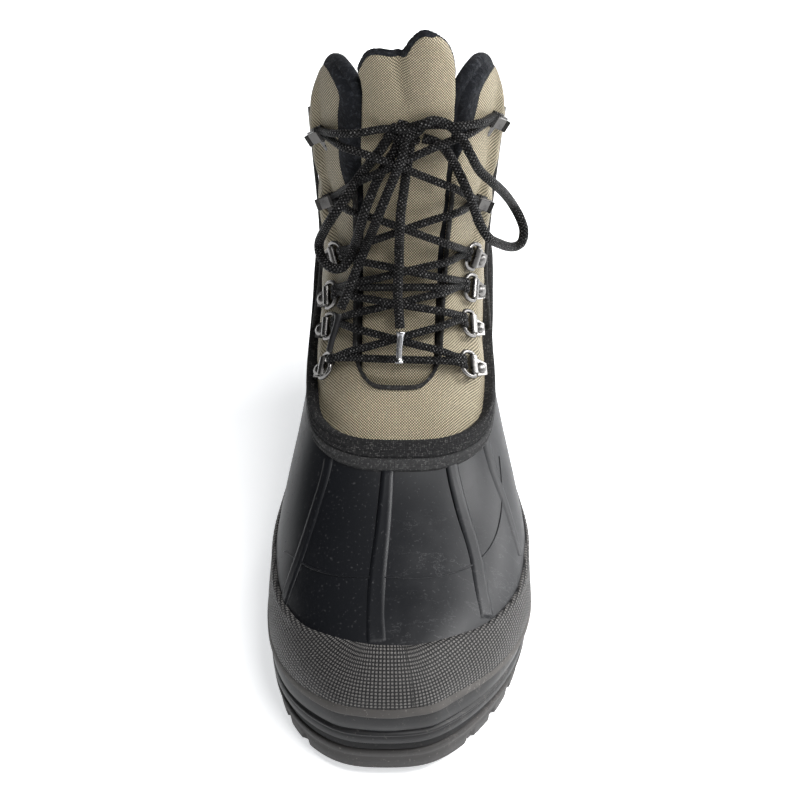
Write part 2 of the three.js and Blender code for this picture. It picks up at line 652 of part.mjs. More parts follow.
// The nearest place on the last's front to a point, stood off by `lift`.
function overLast(point, lift) {
  const best = { miss: Infinity };
  for (let s = 9; s < 20; s += 0.1)
    for (let v = 0.02; v < 0.49; v += 0.01) {
      const p = lastPoint(s, v);
      const miss = p.distanceTo(point);
      if (miss < best.miss) Object.assign(best, { miss, s, v, p });
    }
  return best.p.addScaledVector(lastNormal(best.s, best.v), lift);
}

function laceEnd(name) {
  if (name.startsWith("hook")) return seats[name].place(HOOK_NECK + GAP + LACE / 2 + 0.6, 0, 4.4);
  return seats[name].place(RING_REACH + RING_WIRE + LACE / 2 + 1.2, 0, 4.6);
}

function strand(a, b, lift) {
  const points = [a];
  for (const t of [0.16, 0.32, 0.5, 0.68, 0.84])
    points.push(overLast(a.clone().lerp(b, t), lift + 2 + 5 * (t - 0.5) ** 2));
  return solid(tube([...points, b], LACE / 2, 8, 6));
}

const onFront = ([x, share, z]) => [x, fromToe(share), z];
const knotAt = new THREE.Vector3(...onFront(KNOT));
let crossings;
for (const [from, to, lift] of STRANDS) {
  const one = strand(laceEnd(from), laceEnd(to), lift);
  crossings = crossings ? crossings.add(one) : one;
}
for (const name of ["hook_lateral_6", "hook_medial_6"]) {
  const from = laceEnd(name);
  const to = knotAt.clone().lerp(from, 0.33).add(new THREE.Vector3(0, -4, 4));
  const points = [0.33, 0.66].map((t) => overLast(from.clone().lerp(to, t), 5));
  crossings = crossings.add(solid(tube([from, ...points, to], LACE / 2, 5, 6)));
}
nodes.lace_crossings = [crossings, C.lace, 0.9];

const ball = new THREE.SphereGeometry(1, 12, 8).scale(KNOT_SIZE[0] / 2, KNOT_SIZE[1] / 2, KNOT_SIZE[2] / 2);
let knot = solid(ball.translate(...onFront(KNOT)));
for (const [name, route] of Object.entries(CORDS)) {
  const path = route.map((row) => new THREE.Vector3(...onFront(row)));
  const steps = Math.round(1.4 * route.length);
  nodes[name] = [solid(tube(path, LACE / 2, steps)), C.lace, 0.9];
  const [first, second] = path;
  const start = first.clone().addScaledVector(second.clone().sub(first).normalize(), -GAP);
  const around = [start, ...path.slice(1)];
  if (name.startsWith("lace_loop")) {
    const [final, before] = [path.at(-1), path.at(-2)];
    around.splice(-1, 1, final.clone().addScaledVector(final.clone().sub(before).normalize(), GAP));
  }
  knot = knot.subtract(solid(tube(around, LACE / 2 + GAP, steps)));
}
nodes.lace_knot = [knot, C.lace, 0.9];
for (const [name, route] of Object.entries(TIPS)) {
  const path = route.map((row) => new THREE.Vector3(...onFront(row)));
  nodes[name] = [solid(tube(path, TIP / 2, 4)), C.metal, 0.5];
}

const group = new THREE.Group();
for (const [name, [body, color, roughness]] of Object.entries(nodes)) {
  const mesh = mainBody(body).getMesh();
  const geometry = new THREE.BufferGeometry();
  geometry.setAttribute("position", new THREE.BufferAttribute(mesh.vertProperties, 3));
  geometry.setIndex(new THREE.BufferAttribute(mesh.triVerts, 1));
  geometry.computeVertexNormals();
  const metalness = color === C.metal ? 1 : 0;
  const object = new THREE.Mesh(geometry, new THREE.MeshStandardMaterial({ color, roughness, metalness }));
  object.name = name;
  group.add(object);
}
export default group;
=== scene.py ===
import math

import bmesh
import bpy
import numpy as np
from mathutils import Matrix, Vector
from mathutils.bvhtree import BVHTree


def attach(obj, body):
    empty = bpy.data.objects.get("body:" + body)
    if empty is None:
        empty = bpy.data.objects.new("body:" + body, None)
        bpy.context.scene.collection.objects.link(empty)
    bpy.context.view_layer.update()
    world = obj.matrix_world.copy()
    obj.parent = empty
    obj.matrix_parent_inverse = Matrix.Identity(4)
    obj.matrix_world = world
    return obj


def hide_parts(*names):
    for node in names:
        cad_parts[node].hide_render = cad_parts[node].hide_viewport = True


# Hunting boot for the left foot, in mm until a mesh is made: toe to -Y, outer side of the foot to +X.
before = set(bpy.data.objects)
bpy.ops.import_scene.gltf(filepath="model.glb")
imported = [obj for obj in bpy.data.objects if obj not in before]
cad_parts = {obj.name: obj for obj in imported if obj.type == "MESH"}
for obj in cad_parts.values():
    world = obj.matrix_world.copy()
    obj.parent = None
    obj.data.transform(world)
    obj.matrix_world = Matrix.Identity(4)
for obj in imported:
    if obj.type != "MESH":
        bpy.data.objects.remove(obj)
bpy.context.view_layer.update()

LENGTH = 305
BALL_WIDTH = 118
COLLAR_HEIGHT = 250
SHELL_WALL = 2.4
BUMPER_STEP = 1.3
THROAT_LOW = 117
THROAT_HALF_LOW = 19
THROAT_HALF_HIGH = 25
THROAT_CORNER = 11
THROAT_MIDDLE_LOW = -1.5
THROAT_MIDDLE_HIGH = 4
WEBBING_WIDTH = 1.9
WALL_ROLL = 4.4
TONGUE_THICK = 6.0
TONGUE_SOFT = 3.4
LACE = 4.4
RING_WIRE = 1.05
RING_LIFT = 0.12
BAR_HEIGHT = 3.05
COLUMNS = 288
ROW_STEP = 1.3
GROOVE_DEPTH = 4.5
PAD_PUFF = 2.2
PAD_PUSH = 4.5
FLAP_PUSH = 8.5
LACE_TIGHT = 3.6
HOOK_WIDTH = 5.4
NYLON_PITCH = 0.66
DOT_WIDTH = 1.85
DOT_HEIGHT = 1.45
BRAID_PITCH = 3.1
CLIP_WIDTH = 9.2
PIPING_WIDTH = 2.6
KNOT_FORWARD = 4.5
SOLE_PLACES = 560
RAY_START = 25
CAMERA = (0, -0.9596, 0.8438)
CAMERA_LENS = 118.26
MM = 0.001

# Sections of the last: topY, topZ, lowY, lowZ, inner, outer, middle, widest, topPower, lowPower.
SECTIONS = [
    [0.005, 0.172, 0.010, 0.088, 0.110, 0.060, -0.034, 0.50, 2.40, 3.00],
    [0.016, 0.196, 0.016, 0.084, 0.204, 0.145, -0.025, 0.46, 2.40, 3.20],
    [0.039, 0.218, 0.039, 0.082, 0.280, 0.199, -0.017, 0.42, 2.40, 3.60],
    [0.075, 0.238, 0.075, 0.078, 0.361, 0.272, -0.008, 0.38, 2.35, 4.00],
    [0.125, 0.258, 0.125, 0.070, 0.437, 0.368, 0.000, 0.34, 2.30, 4.50],
    [0.184, 0.278, 0.184, 0.062, 0.479, 0.445, 0.000, 0.32, 2.25, 5.00],
    [0.249, 0.306, 0.249, 0.058, 0.496, 0.488, 0.000, 0.30, 2.20, 5.00],
    [0.311, 0.340, 0.315, 0.056, 0.495, 0.496, 0.000, 0.29, 2.15, 5.00],
    [0.370, 0.386, 0.387, 0.056, 0.483, 0.492, 0.000, 0.28, 2.20, 5.00],
    [0.426, 0.447, 0.466, 0.060, 0.453, 0.462, 0.000, 0.27, 2.35, 5.00],
    [0.471, 0.504, 0.551, 0.068, 0.419, 0.428, 0.000, 0.27, 2.45, 5.00],
    [0.504, 0.557, 0.649, 0.080, 0.394, 0.394, 0.003, 0.28, 2.50, 4.50],
    [0.526, 0.604, 0.761, 0.094, 0.373, 0.369, 0.005, 0.30, 2.55, 4.00],
    [0.538, 0.648, 0.872, 0.104, 0.359, 0.362, 0.008, 0.33, 2.60, 3.20],
    [0.545, 0.691, 0.974, 0.132, 0.352, 0.357, 0.011, 0.37, 2.60, 2.60],
    [0.551, 0.742, 1.000, 0.261, 0.347, 0.355, 0.014, 0.41, 2.60, 2.30],
    [0.558, 0.802, 0.993, 0.418, 0.351, 0.359, 0.017, 0.45, 2.60, 2.20],
    [0.564, 0.869, 0.981, 0.579, 0.364, 0.368, 0.021, 0.48, 2.55, 2.20],
    [0.568, 0.944, 0.974, 0.732, 0.376, 0.381, 0.025, 0.50, 2.50, 2.20],
    [0.570, 1.027, 0.971, 0.877, 0.381, 0.385, 0.030, 0.50, 2.45, 2.20],
    [0.563, 1.146, 0.968, 1.046, 0.376, 0.381, 0.034, 0.50, 2.40, 2.20],
    [0.559, 1.221, 0.968, 1.167, 0.376, 0.381, 0.034, 0.50, 2.40, 2.20],
]
UNITS = np.array([LENGTH, COLLAR_HEIGHT] * 2 + [BALL_WIDTH] * 3 + [1] * 3)
ROWS = np.array(SECTIONS) * UNITS

# Side profiles: back from the toe as a share of LENGTH, height in mm (COLLAR: share of COLLAR_HEIGHT).
SOLE_TOP = [
    [-0.05, 27], [0.03, 25.5], [0.1, 23.5], [0.2, 21], [0.35, 20], [0.48, 21.5], [0.62, 26], [0.75, 30.5],
    [0.86, 33], [1.05, 34],
]
OUTSOLE_TOP = [
    [-0.05, 19], [0.03, 17], [0.1, 14], [0.2, 11.5], [0.4, 11], [0.55, 13], [0.66, 17], [0.8, 18],
    [1.05, 18.5],
]
GROUND = [
    [-0.05, 7], [0, 5.6], [0.06, 3], [0.13, 1], [0.19, 0], [0.4, 0], [0.5, 1.8], [0.66, 2.6], [0.685, 0],
    [0.96, 0], [1.02, 2.5], [1.05, 4],
]
RIM = [
    [0.33, 112], [0.372, 97.4], [0.4, 97], [0.45, 97.5], [0.485, 100], [0.53, 101], [0.6, 102],
    [0.66, 103], [0.8, 106], [1.06, 108],
]
BUMPER_TOP = [
    [-0.06, 62], [0.09, 58], [0.14, 53], [0.22, 49], [0.36, 46.5], [0.6, 47.5], [0.8, 50], [1.06, 54],
]
COLLAR = [
    [0.42, 0.965], [0.58, 0.985], [0.625, 1.0], [0.66, 0.992], [0.7, 0.945], [0.76, 0.83], [0.85, 0.765],
    [1.06, 0.73],
]
SOLE_OUTER = [
    [0.0, 0.06], [0.012, 0.14], [0.04, 0.225], [0.09, 0.322], [0.16, 0.42], [0.25, 0.49], [0.33, 0.507],
    [0.42, 0.498], [0.52, 0.462], [0.63, 0.405], [0.75, 0.372], [0.85, 0.356], [0.92, 0.31], [0.97, 0.22],
    [0.997, 0.08],
]
SOLE_INNER = [
    [0.0, 0.16], [0.012, 0.245], [0.04, 0.33], [0.09, 0.415], [0.16, 0.478], [0.25, 0.505], [0.33, 0.5],
    [0.42, 0.475], [0.52, 0.43], [0.63, 0.375], [0.75, 0.355], [0.85, 0.343], [0.92, 0.29], [0.97, 0.19],
    [0.997, 0.06],
]
BAND_TOP = [
    [-0.05, 46], [0, 44.6], [0.03, 42.5], [0.08, 38.5], [0.2, 34], [0.35, 31.5], [0.6, 36], [0.8, 42.5],
    [1.05, 44.5],
]
# The tongue's sewn outline is fuller than its solid's: x in mm, height as a share of COLLAR_HEIGHT.
TONGUE_SHAPE = [
    [-25, 0.42], [22, 0.42], [26, 0.5], [25, 0.8], [23.5, 0.96], [22.5, 1.03], [18.5, 1.075], [11, 1.1],
    [6, 1.088], [3, 1.068], [0.5, 1.05], [-4, 1.056], [-9, 1.058], [-13, 1.05], [-16, 1.025], [-18, 0.98],
    [-20, 0.8], [-27, 0.5],
]
HARDWARE = [
    ["lateral_1", 0.494, 115.6],
    ["lateral_2", 0.547, 126.7],
    ["lateral_3", 0.591, 137.8],
    ["lateral_4", 0.616, 150.4],
    ["hook_lateral_5", 0.648, 174],
    ["hook_lateral_6", 0.665, 216],
    ["medial_1", 0.499, 113.3],
    ["medial_2", 0.55, 124.6],
    ["medial_3", 0.59, 133.6],
    ["medial_4", 0.606, 153.5],
    ["hook_medial_5", 0.652, 174],
    ["hook_medial_6", 0.662, 209],
]
STRANDS = [
    ["medial_1", "lateral_1", 0.6],
    ["medial_1", "lateral_2", 1.2],
    ["lateral_1", "medial_2", 2.2],
    ["medial_2", "lateral_3", 1.2],
    ["lateral_2", "medial_3", 2.2],
    ["medial_3", "lateral_3", 0.6],
    ["medial_3", "lateral_4", 1.2],
    ["lateral_3", "medial_4", 2.2],
    ["medial_4", "hook_lateral_5", 1.2],
    ["lateral_4", "hook_medial_5", 2.2],
    ["hook_medial_5", "hook_lateral_6", 1.2],
    ["hook_lateral_5", "hook_medial_6", 2.2],
]
# The free lace: x in mm, back from the toe as a share of LENGTH, height in mm.
CORDS = {
    "lace_loop_lateral": [
        [10.1, 0.5779, 231.8], [14.9, 0.5797, 232.5], [21.5, 0.5735, 230], [27.2, 0.5603, 224.9],
        [31.1, 0.5493, 218.7], [35.4, 0.5594, 208.4], [41, 0.5729, 199.9], [46.5, 0.6053, 188],
        [51.7, 0.6421, 173.5], [55.5, 0.6374, 166.2], [56.9, 0.6276, 161.6], [55.6, 0.6199, 157],
        [51.3, 0.6082, 157.3], [45.4, 0.5782, 165.3], [40, 0.5509, 174.3], [36.2, 0.5491, 181.2],
        [33.4, 0.5498, 189.1], [30.6, 0.5487, 197.8], [27.5, 0.558, 204.4], [23.9, 0.5697, 210.5],
        [19.9, 0.5771, 216.9], [15.4, 0.5839, 220.8], [10.2, 0.5884, 222.6],
    ],
    "lace_loop_medial": [
        [-3.5, 0.5915, 225.1], [-6.2, 0.5826, 221.6], [-8.8, 0.5745, 217.9], [-11.9, 0.5697, 213.1],
        [-16.4, 0.5679, 206.1], [-20.9, 0.5586, 200.6], [-25.3, 0.5444, 195], [-30.3, 0.5379, 187.8],
        [-34.6, 0.5528, 176.6], [-36.6, 0.5591, 168.8], [-35.2, 0.5442, 164.8], [-30.6, 0.5272, 162.9],
        [-25.6, 0.5255, 163.8], [-22, 0.5348, 167.9], [-20.2, 0.5408, 173.1], [-17.8, 0.5277, 184.5],
        [-15.5, 0.5275, 193.7], [-13.3, 0.5389, 198.2], [-10.6, 0.5523, 203.5], [-7.5, 0.5631, 208.7],
        [-4.9, 0.5713, 213.4], [-2.2, 0.5803, 217.3], [-0.9, 0.5883, 220.5],
    ],
    "lace_end_a": [
        [4.4, 0.5876, 219.1], [4, 0.5785, 215.6], [3.1, 0.5639, 210.6], [2.2, 0.5473, 205],
        [1.3, 0.5338, 199.8], [0.4, 0.5213, 194.9], [0, 0.5147, 186.7], [-0.4, 0.5227, 175.3],
        [-0.4, 0.5108, 168.1], [-0.9, 0.4963, 161.4], [-0.9, 0.4877, 153.3], [-0.4, 0.4792, 147.4],
        [0, 0.4703, 142.2],
    ],
    "lace_end_b": [
        [1.3, 0.5684, 219.1], [0, 0.5578, 215], [-1.8, 0.5485, 210], [-4, 0.5437, 204.1],
        [-6.2, 0.5367, 199.2], [-8.4, 0.5262, 195], [-10.2, 0.5222, 190], [-12.5, 0.5323, 181.4],
        [-14.8, 0.5378, 173.8], [-17, 0.5289, 169.1], [-19.3, 0.5171, 164.5], [-21.5, 0.5078, 160],
        [-23.8, 0.5018, 154.1], [-26.6, 0.4942, 148],
    ],
}
TIPS = {
    "lace_tip_a": [
        [0.4, 0.4691, 140.2], [0, 0.46, 136.7], [-0.4, 0.45, 132.8], [-0.4, 0.44, 128.9],
    ],
    "lace_tip_b": [
        [-27.6, 0.504, 142.5], [-29, 0.4921, 137.8], [-30.8, 0.4803, 133.2], [-32.1, 0.4693, 128.9],
    ],
}
KNOT = [3.1, 0.579, 226.5]
# Turns of lace round the knot: tilt, shift, radius.
KNOT_WRAPS = [
    [0.15, [0, 0, 1.8], 4.6],
    [0.5, [0.6, -0.6, -1.4], 4.4],
    [-0.3, [-0.8, 0.2, -4.2], 4.0],
]
# Grooves across the tread: back from the toe as a share of LENGTH, then width and slant in mm.
GROOVES = [
    [0.075, 4.5, -5],
    [0.135, 4.5, -6],
    [0.195, 4.5, -6],
    [0.255, 4.5, -5],
    [0.315, 4.5, -4],
    [0.375, 4.5, -3],
    [0.435, 4.5, -2],
    [0.745, 5, 3],
    [0.82, 5, 3],
    [0.895, 5, 3],
]


# Small tools.
def lerp(a, b, t):
    return a + (b - a) * t


def ramp(x, low, high):
    t = np.clip((np.asarray(x, float) - low) / (high - low), 0, 1)
    return t * t * (3 - 2 * t)


def from_toe(share):
    return np.asarray(share) * LENGTH - LENGTH / 2


def to_share(y):
    return (np.asarray(y) + LENGTH / 2) / LENGTH


def height(profile, y, unit=1):
    rows = np.array(profile)
    return np.interp(to_share(y), rows[:, 0], rows[:, 1]) * unit


def smooth_height(profile, y, unit=1, reach=6):
    steps = (-reach, -reach / 2, 0, reach / 2, reach)
    return sum(height(profile, np.asarray(y) + d, unit) for d in steps) / 5


def run_along(points):
    """How far along a line each of its points is."""
    return np.r_[0, np.cumsum(np.linalg.norm(np.diff(points, axis=0), axis=1))]


def cubic(a, b, c, d, t):
    """A smooth curve's place between b and c."""
    return b + 0.5 * t * (c - a + t * (2 * a - 5 * b + 4 * c - d + t * (3 * (b - c) + d - a)))


def ease(line):
    """Smooths a line's inner values in place."""
    line[1:-1] = (line[:-2] + 2 * line[1:-1] + line[2:]) / 4


def ease_round(values, reach):
    """Smooths values that run round a closed line."""
    kernel = np.hanning(2 * reach + 1)
    return np.convolve(np.r_[values[-reach:], values, values[:reach]], kernel / kernel.sum(), "valid")


def catmull(points, count, closed=False):
    p = np.array(points, float)
    n = len(p)
    if closed:
        p = np.vstack([p[-1:], p, p[:2]])
    else:
        p = np.vstack([2 * p[0] - p[1], p, 2 * p[-1] - p[-2]])
        n -= 1
    fine = []
    for i in range(n):
        fine += [cubic(*p[i : i + 4], t) for t in np.linspace(0, 1, 12, endpoint=False)]
    fine.append(p[-2] if not closed else fine[0])
    fine = np.array(fine)
    run = run_along(fine)
    at = np.linspace(0, run[-1], count + 1 if closed else count)
    out = np.stack([np.interp(at, run, fine[:, k]) for k in range(p.shape[1])], 1)
    return out[:-1] if closed else out


# The last: rows along it, and columns by length round each row from the middle of the sole.
def rows_at(s):
    s = np.clip(s, 0, len(ROWS) - 1)
    i = np.minimum(s.astype(int), len(ROWS) - 2)
    t = (s - i)[:, None]
    a, b = ROWS[np.maximum(i - 1, 0)], ROWS[i]
    c, d = ROWS[i + 1], ROWS[np.minimum(i + 2, len(ROWS) - 1)]
    return cubic(a, b, c, d, t)


def last_points(s, v):
    top_y, top_z, low_y, low_z, inner, outer, middle, widest, top_power, low_power = rows_at(s).T
    c, q = np.cos(2 * np.pi * v), np.sin(2 * np.pi * v)
    power = 2 / np.where(q > 0, top_power, low_power)
    side = np.sign(c) * np.abs(c) ** power * np.where(c > 0, outer, inner)
    along = widest + np.sign(q) * np.abs(q) ** power * np.where(q > 0, 1 - widest, widest)
    return np.stack([middle + side, lerp(low_y, top_y, along) - LENGTH / 2, lerp(low_z, top_z, along)], -1)


def fine_turns():
    quarter = np.linspace(0, 1, 160)
    eased = quarter**2 * (3 - 2 * quarter)
    eased = eased**2 * (3 - 2 * eased)
    return np.concatenate([(k - 1 + eased[:-1]) / 4 for k in range(4)] + [[0.75]])


def make_base():
    turns = fine_turns()
    coarse = np.linspace(0, len(ROWS) - 1, 400)
    spine = [last_points(coarse, np.full(400, v)) for v in (0.25, 0.05, 0.45, 0.75)]
    run = sum(run_along(p) for p in spine) / 4
    count = int(run[-1] / ROW_STEP)
    s = np.interp(np.linspace(0, run[-1], count), run, coarse)
    grid = np.zeros((count, COLUMNS + 1, 3))
    round_at = np.zeros((count, COLUMNS + 1))
    for i, one in enumerate(s):
        p = last_points(np.full(len(turns), one), turns)
        r = run_along(p)
        top = np.interp(0.25, turns, r)
        at = np.r_[np.linspace(0, top, COLUMNS // 2 + 1), np.linspace(top, r[-1], COLUMNS // 2 + 1)[1:]]
        grid[i] = np.stack([np.interp(at, r, p[:, k]) for k in range(3)], 1)
        round_at[i] = at - top
    centre = grid[0, :-1].mean(0)
    nose = []
    shares = (0.02, 0.12, 0.25, 0.38, 0.5, 0.62, 0.73, 0.83, 0.92)
    for f in shares:
        ring = centre + (grid[0] - centre) * f
        ring[:, 1] -= 1.4 * (1 - f**2)
        nose.append(ring)
    grid = np.concatenate([nose, grid])
    round_at = np.concatenate([round_at[:1] * f for f in shares] + [round_at])
    along = np.r_[[np.zeros(COLUMNS + 1)], np.cumsum(np.linalg.norm(np.diff(grid, axis=0), axis=2), axis=0)]
    ds = np.gradient(grid, axis=0)
    wrapped = np.concatenate([grid[:, -2:-1], grid, grid[:, 1:2]], axis=1)
    dv = (wrapped[:, 2:] - wrapped[:, :-2]) / 2
    normal = np.cross(ds, dv)
    normal /= np.linalg.norm(normal, axis=2, keepdims=True) + 1e-9
    return grid, normal, round_at, along


GRID, NORMAL, ROUND, ALONG = make_base()
N_ROWS = len(GRID)
MIDDLE_RUN = ALONG[:, COLUMNS // 2]
steps = np.diff(GRID, axis=1)
FRONT_RUN = np.r_["1", np.zeros((N_ROWS, 1)), np.cumsum(np.hypot(steps[..., 0], 0.7 * steps[..., 1]), axis=1)]
FRONT_RUN -= FRONT_RUN[:, COLUMNS // 2][:, None]
middle_runs = np.broadcast_to(MIDDLE_RUN[:, None], ROUND.shape)
# Columns: x, y, z, normal, then the run round the last, along its top, and across its front.
BASE = np.concatenate([GRID, NORMAL, np.stack([ROUND, middle_runs, FRONT_RUN], -1)], axis=2).reshape(-1, 9)
ids = np.arange(N_ROWS * (COLUMNS + 1)).reshape(N_ROWS, COLUMNS + 1)
QUADS = np.stack([ids[:-1, :-1], ids[1:, :-1], ids[1:, 1:], ids[:-1, 1:]], -1).reshape(-1, 4)
FRONT = np.where(BASE[QUADS[:, 0], 1] < float(from_toe(0.68)))[0]
TREE = BVHTree.FromPolygons([tuple(p) for p in BASE[:, :3]], [tuple(int(k) for k in q) for q in QUADS])


def data_at(point):
    """The base's data at the place nearest to a point."""
    where, _, face, _ = TREE.find_nearest(Vector(point))
    corners = QUADS[face]
    weight = 1 / (np.linalg.norm(BASE[corners, :3] - np.array(where), axis=1) + 1e-3)
    row = (BASE[corners] * weight[:, None]).sum(0) / weight.sum()
    row[:3] = where
    row[3:6] /= np.linalg.norm(row[3:6])
    return row


def on_last(point, lift=0.0):
    """The nearest place on the last and the way out of it there."""
    row = data_at(point)
    return row[:3] + row[3:6] * lift, row[3:6]


# Cutting a skin of the last by a value that is kept where it is above zero.
def cut(data, quads, polys, value):
    inside = value >= 0
    hit = inside[quads]
    keep = quads[hit.all(1)]
    mixed = [list(map(int, q)) for q in quads[hit.any(1) & ~hit.all(1)]]
    out, extra, made = [], [], {}
    for poly in mixed + polys:
        flags = [inside[k] for k in poly]
        if all(flags):
            out.append(poly)
            continue
        if not any(flags):
            continue
        new = []
        for k, a in enumerate(poly):
            b = poly[(k + 1) % len(poly)]
            if inside[a]:
                new.append(a)
            if inside[a] != inside[b]:
                key = (min(a, b), max(a, b))
                if key not in made:
                    t = value[key[0]] / (value[key[0]] - value[key[1]])
                    t = min(0.98, max(0.02, t))
                    made[key] = len(data) + len(extra)
                    extra.append(lerp(data[key[0]], data[key[1]], t))
                new.append(made[key])
        out.append(new)
    if extra:
        data = np.vstack([data, extra])
    return data, keep, out


def skin(*fields, part=None):
    """A piece of the last's skin where each field of it is above zero."""
    data, quads, polys = BASE, QUADS if part is None else QUADS[part], []
    for field in fields:
        data, quads, polys = cut(data, quads, polys, field(data))
    faces = [list(map(int, q)) for q in quads] + polys
    used = sorted({k for f in faces for k in f})
    index = {k: n for n, k in enumerate(used)}
    data = data[used].copy()
    data[:, 3:6] /= np.linalg.norm(data[:, 3:6], axis=1, keepdims=True) + 1e-9
    return data, [[index[k] for k in f] for f in faces]


def welded(data):
    """Joins the two edges that meet along the middle of the sole and the heel."""
    keys = {}
    to = np.arange(len(data))
    for k, p in enumerate(data[:, :3]):
        to[k] = keys.setdefault(tuple(np.round(p, 3)), k)
    return to


def edges_of(faces, to):
    seen = {}
    for f in faces:
        n = len(f)
        for k in range(n):
            a, b = int(to[f[k]]), int(to[f[(k + 1) % n]])
            if a != b:
                seen[(a, b)] = seen.get((a, b), 0) + 1
    return [e for e in seen if (e[1], e[0]) not in seen]


def chains(edges):
    follow = {}
    for a, b in edges:
        follow.setdefault(a, []).append(b)
    starts = set(follow) - {b for _, b in edges}
    out = []
    while follow:
        start = next(iter(starts & set(follow)), None)
        if start is None:
            start = next(iter(follow))
        line = [start]
        while line[-1] in follow:
            nexts = follow[line[-1]]
            b = nexts.pop()
            if not nexts:
                del follow[line[-1]]
            if b == start:
                line.append(b)
                break
            line.append(b)
        out.append(line)
    return out


def loops_of(data, faces):
    """The lines of places round a skin's edges."""
    for line in chains(edges_of(faces, welded(data))):
        yield np.array(line[:-1] if line[0] == line[-1] else line)


def lifted(data, lift):
    return data[:, :3] + data[:, 3:6] * np.reshape(lift, (-1, 1))


# Making objects.
def mesh_object(name, points, faces, mats, uv=None, face_mat=None, smooth=True, merge=0.0):
    """points in mm; uv one pair in mm for each point, or for each corner of each face."""
    mesh = bpy.data.meshes.new(name)
    mesh.from_pydata((np.asarray(points) * MM).tolist(), [], faces)
    for mat in mats if isinstance(mats, (list, tuple)) else [mats]:
        mesh.materials.append(mat)
    if uv is not None:
        layer = mesh.uv_layers.new(name="cloth")
        if isinstance(uv, np.ndarray):
            index = np.fromiter((k for f in faces for k in f), int)
            flat = uv[index]
        else:
            flat = np.array([c for f in uv for c in f])
        layer.data.foreach_set("uv", (flat * MM * 10).astype(np.float32).ravel())
    if face_mat is not None:
        mesh.polygons.foreach_set("material_index", np.asarray(face_mat, np.int32))
    obj = bpy.data.objects.new(name, mesh)
    bpy.context.scene.collection.objects.link(obj)
    if merge:
        bm = bmesh.new()
        bm.from_mesh(mesh)
        bmesh.ops.remove_doubles(bm, verts=bm.verts, dist=merge * MM)
        bm.to_mesh(mesh)
        bm.free()
    if smooth:
        mesh.polygons.foreach_set("use_smooth", np.ones(len(mesh.polygons), bool))
    mesh.update()
    return obj


def piece(obj, nodes):
    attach(obj, "root")
    if nodes:
        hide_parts(*([nodes] if isinstance(nodes, str) else nodes))
    return obj


def between(rings, n, base=0, closed=True):
    """Faces between rings of n points that follow one another."""
    out = []
    for i in range(base, base + (rings - 1) * n, n):
        for k in range(n if closed else n - 1):
            l = (k + 1) % n
            out.append([i + k, i + l, i + n + l, i + n + k])
    return out


def rolled(a, b, normal, steps, fullness):
    """Rings of points round an edge, from one face to the other and full between them."""
    along = np.roll(a, -1, 0) - np.roll(a, 1, 0)
    along /= np.linalg.norm(along, axis=1, keepdims=True) + 1e-9
    away = np.cross(along, normal)
    bulge = np.linalg.norm(a - b, axis=1) * fullness
    rings = []
    for t in np.linspace(0, np.pi, steps):
        rings += list(lerp(a, b, (1 - np.cos(t)) / 2) + away * (np.sin(t) * bulge)[:, None])
    return rings


def patch(name, data, faces, low, high, mat, uv, node):
    """A patch between two lifts off the last, closed round its edge."""
    n = len(data)
    faces = faces + [[a, a + n, b + n, b] for a, b in edges_of(faces, welded(data))]
    points = np.vstack([lifted(data, high), lifted(data, low)])
    obj = mesh_object(name, points, faces, mat, uv=np.vstack([uv, uv]), merge=0.005)
    return piece(obj, node)


def sweep(path, section, closed=False, ups=None):
    """Carries a section of [across, up] along a path: points, faces and a uv pair for each corner."""
    path = np.asarray(path, float)
    n = len(path)
    if closed:
        tangent = np.roll(path, -1, 0) - np.roll(path, 1, 0)
    else:
        tangent = np.gradient(path, axis=0)
    tangent /= np.linalg.norm(tangent, axis=1, keepdims=True) + 1e-12
    if ups is None:
        up = np.array([0.0, 0, 1]) if abs(tangent[0][2]) < 0.9 else np.array([1.0, 0, 0])
        ups = []
        for t in tangent:
            up = up - t * up.dot(t)
            up /= np.linalg.norm(up)
            ups.append(up)
        ups = np.array(ups)
    ups = ups - tangent * (ups * tangent).sum(1, keepdims=True)
    ups /= np.linalg.norm(ups, axis=1, keepdims=True) + 1e-12
    sides = np.cross(tangent, ups)
    section = np.asarray(section, float)
    if section.ndim == 2:
        section = np.broadcast_to(section, (n,) + section.shape)
    m = section.shape[1]
    points = path[:, None] + sides[:, None] * section[..., :1] + ups[:, None] * section[..., 1:]
    run = run_along(path)
    girth = run_along(np.vstack([section[0], section[0][:1]]))
    faces, uv = [], []
    for i in range(n if closed else n - 1):
        j = (i + 1) % n
        far = run[i + 1] if i + 1 < n else run[-1] + np.linalg.norm(path[0] - path[-1])
        for k in range(m):
            l = (k + 1) % m
            faces.append([i * m + k, j * m + k, j * m + l, i * m + l])
            uv.append([(run[i], girth[k]), (far, girth[k]), (far, girth[k + 1]), (run[i], girth[k + 1])])
    if not closed:
        faces += [list(range(m)), [(n - 1) * m + k for k in reversed(range(m))]]
        uv += [[(0, g) for g in girth[:-1]], [(run[-1], girth[k]) for k in reversed(range(m))]]
    return points.reshape(-1, 3), faces, uv


def joined(*parts):
    points, faces, uv = [], [], []
    base = 0
    for p, f, u in parts:
        points.append(np.asarray(p))
        faces += [[k + base for k in q] for q in f]
        uv += u
        base += len(p)
    return np.vstack(points), faces, uv


def round_section(radius, sides=12):
    a = np.arange(sides) * 2 * np.pi / sides
    return np.stack([radius * np.cos(a), radius * np.sin(a)], 1)


def pill(width, tall, sides=4):
    """A flat strip's section with round edges, standing on its base."""
    r = min(tall, width / 2) * 0.9
    half = [[-width / 2, -0.4]]
    for k in range(sides + 1):
        a = np.pi - k * np.pi / 2 / sides
        half.append([-width / 2 + r + r * np.cos(a), tall - r + r * np.sin(a)])
    return [[-x, y] for x, y in half] + half[::-1]


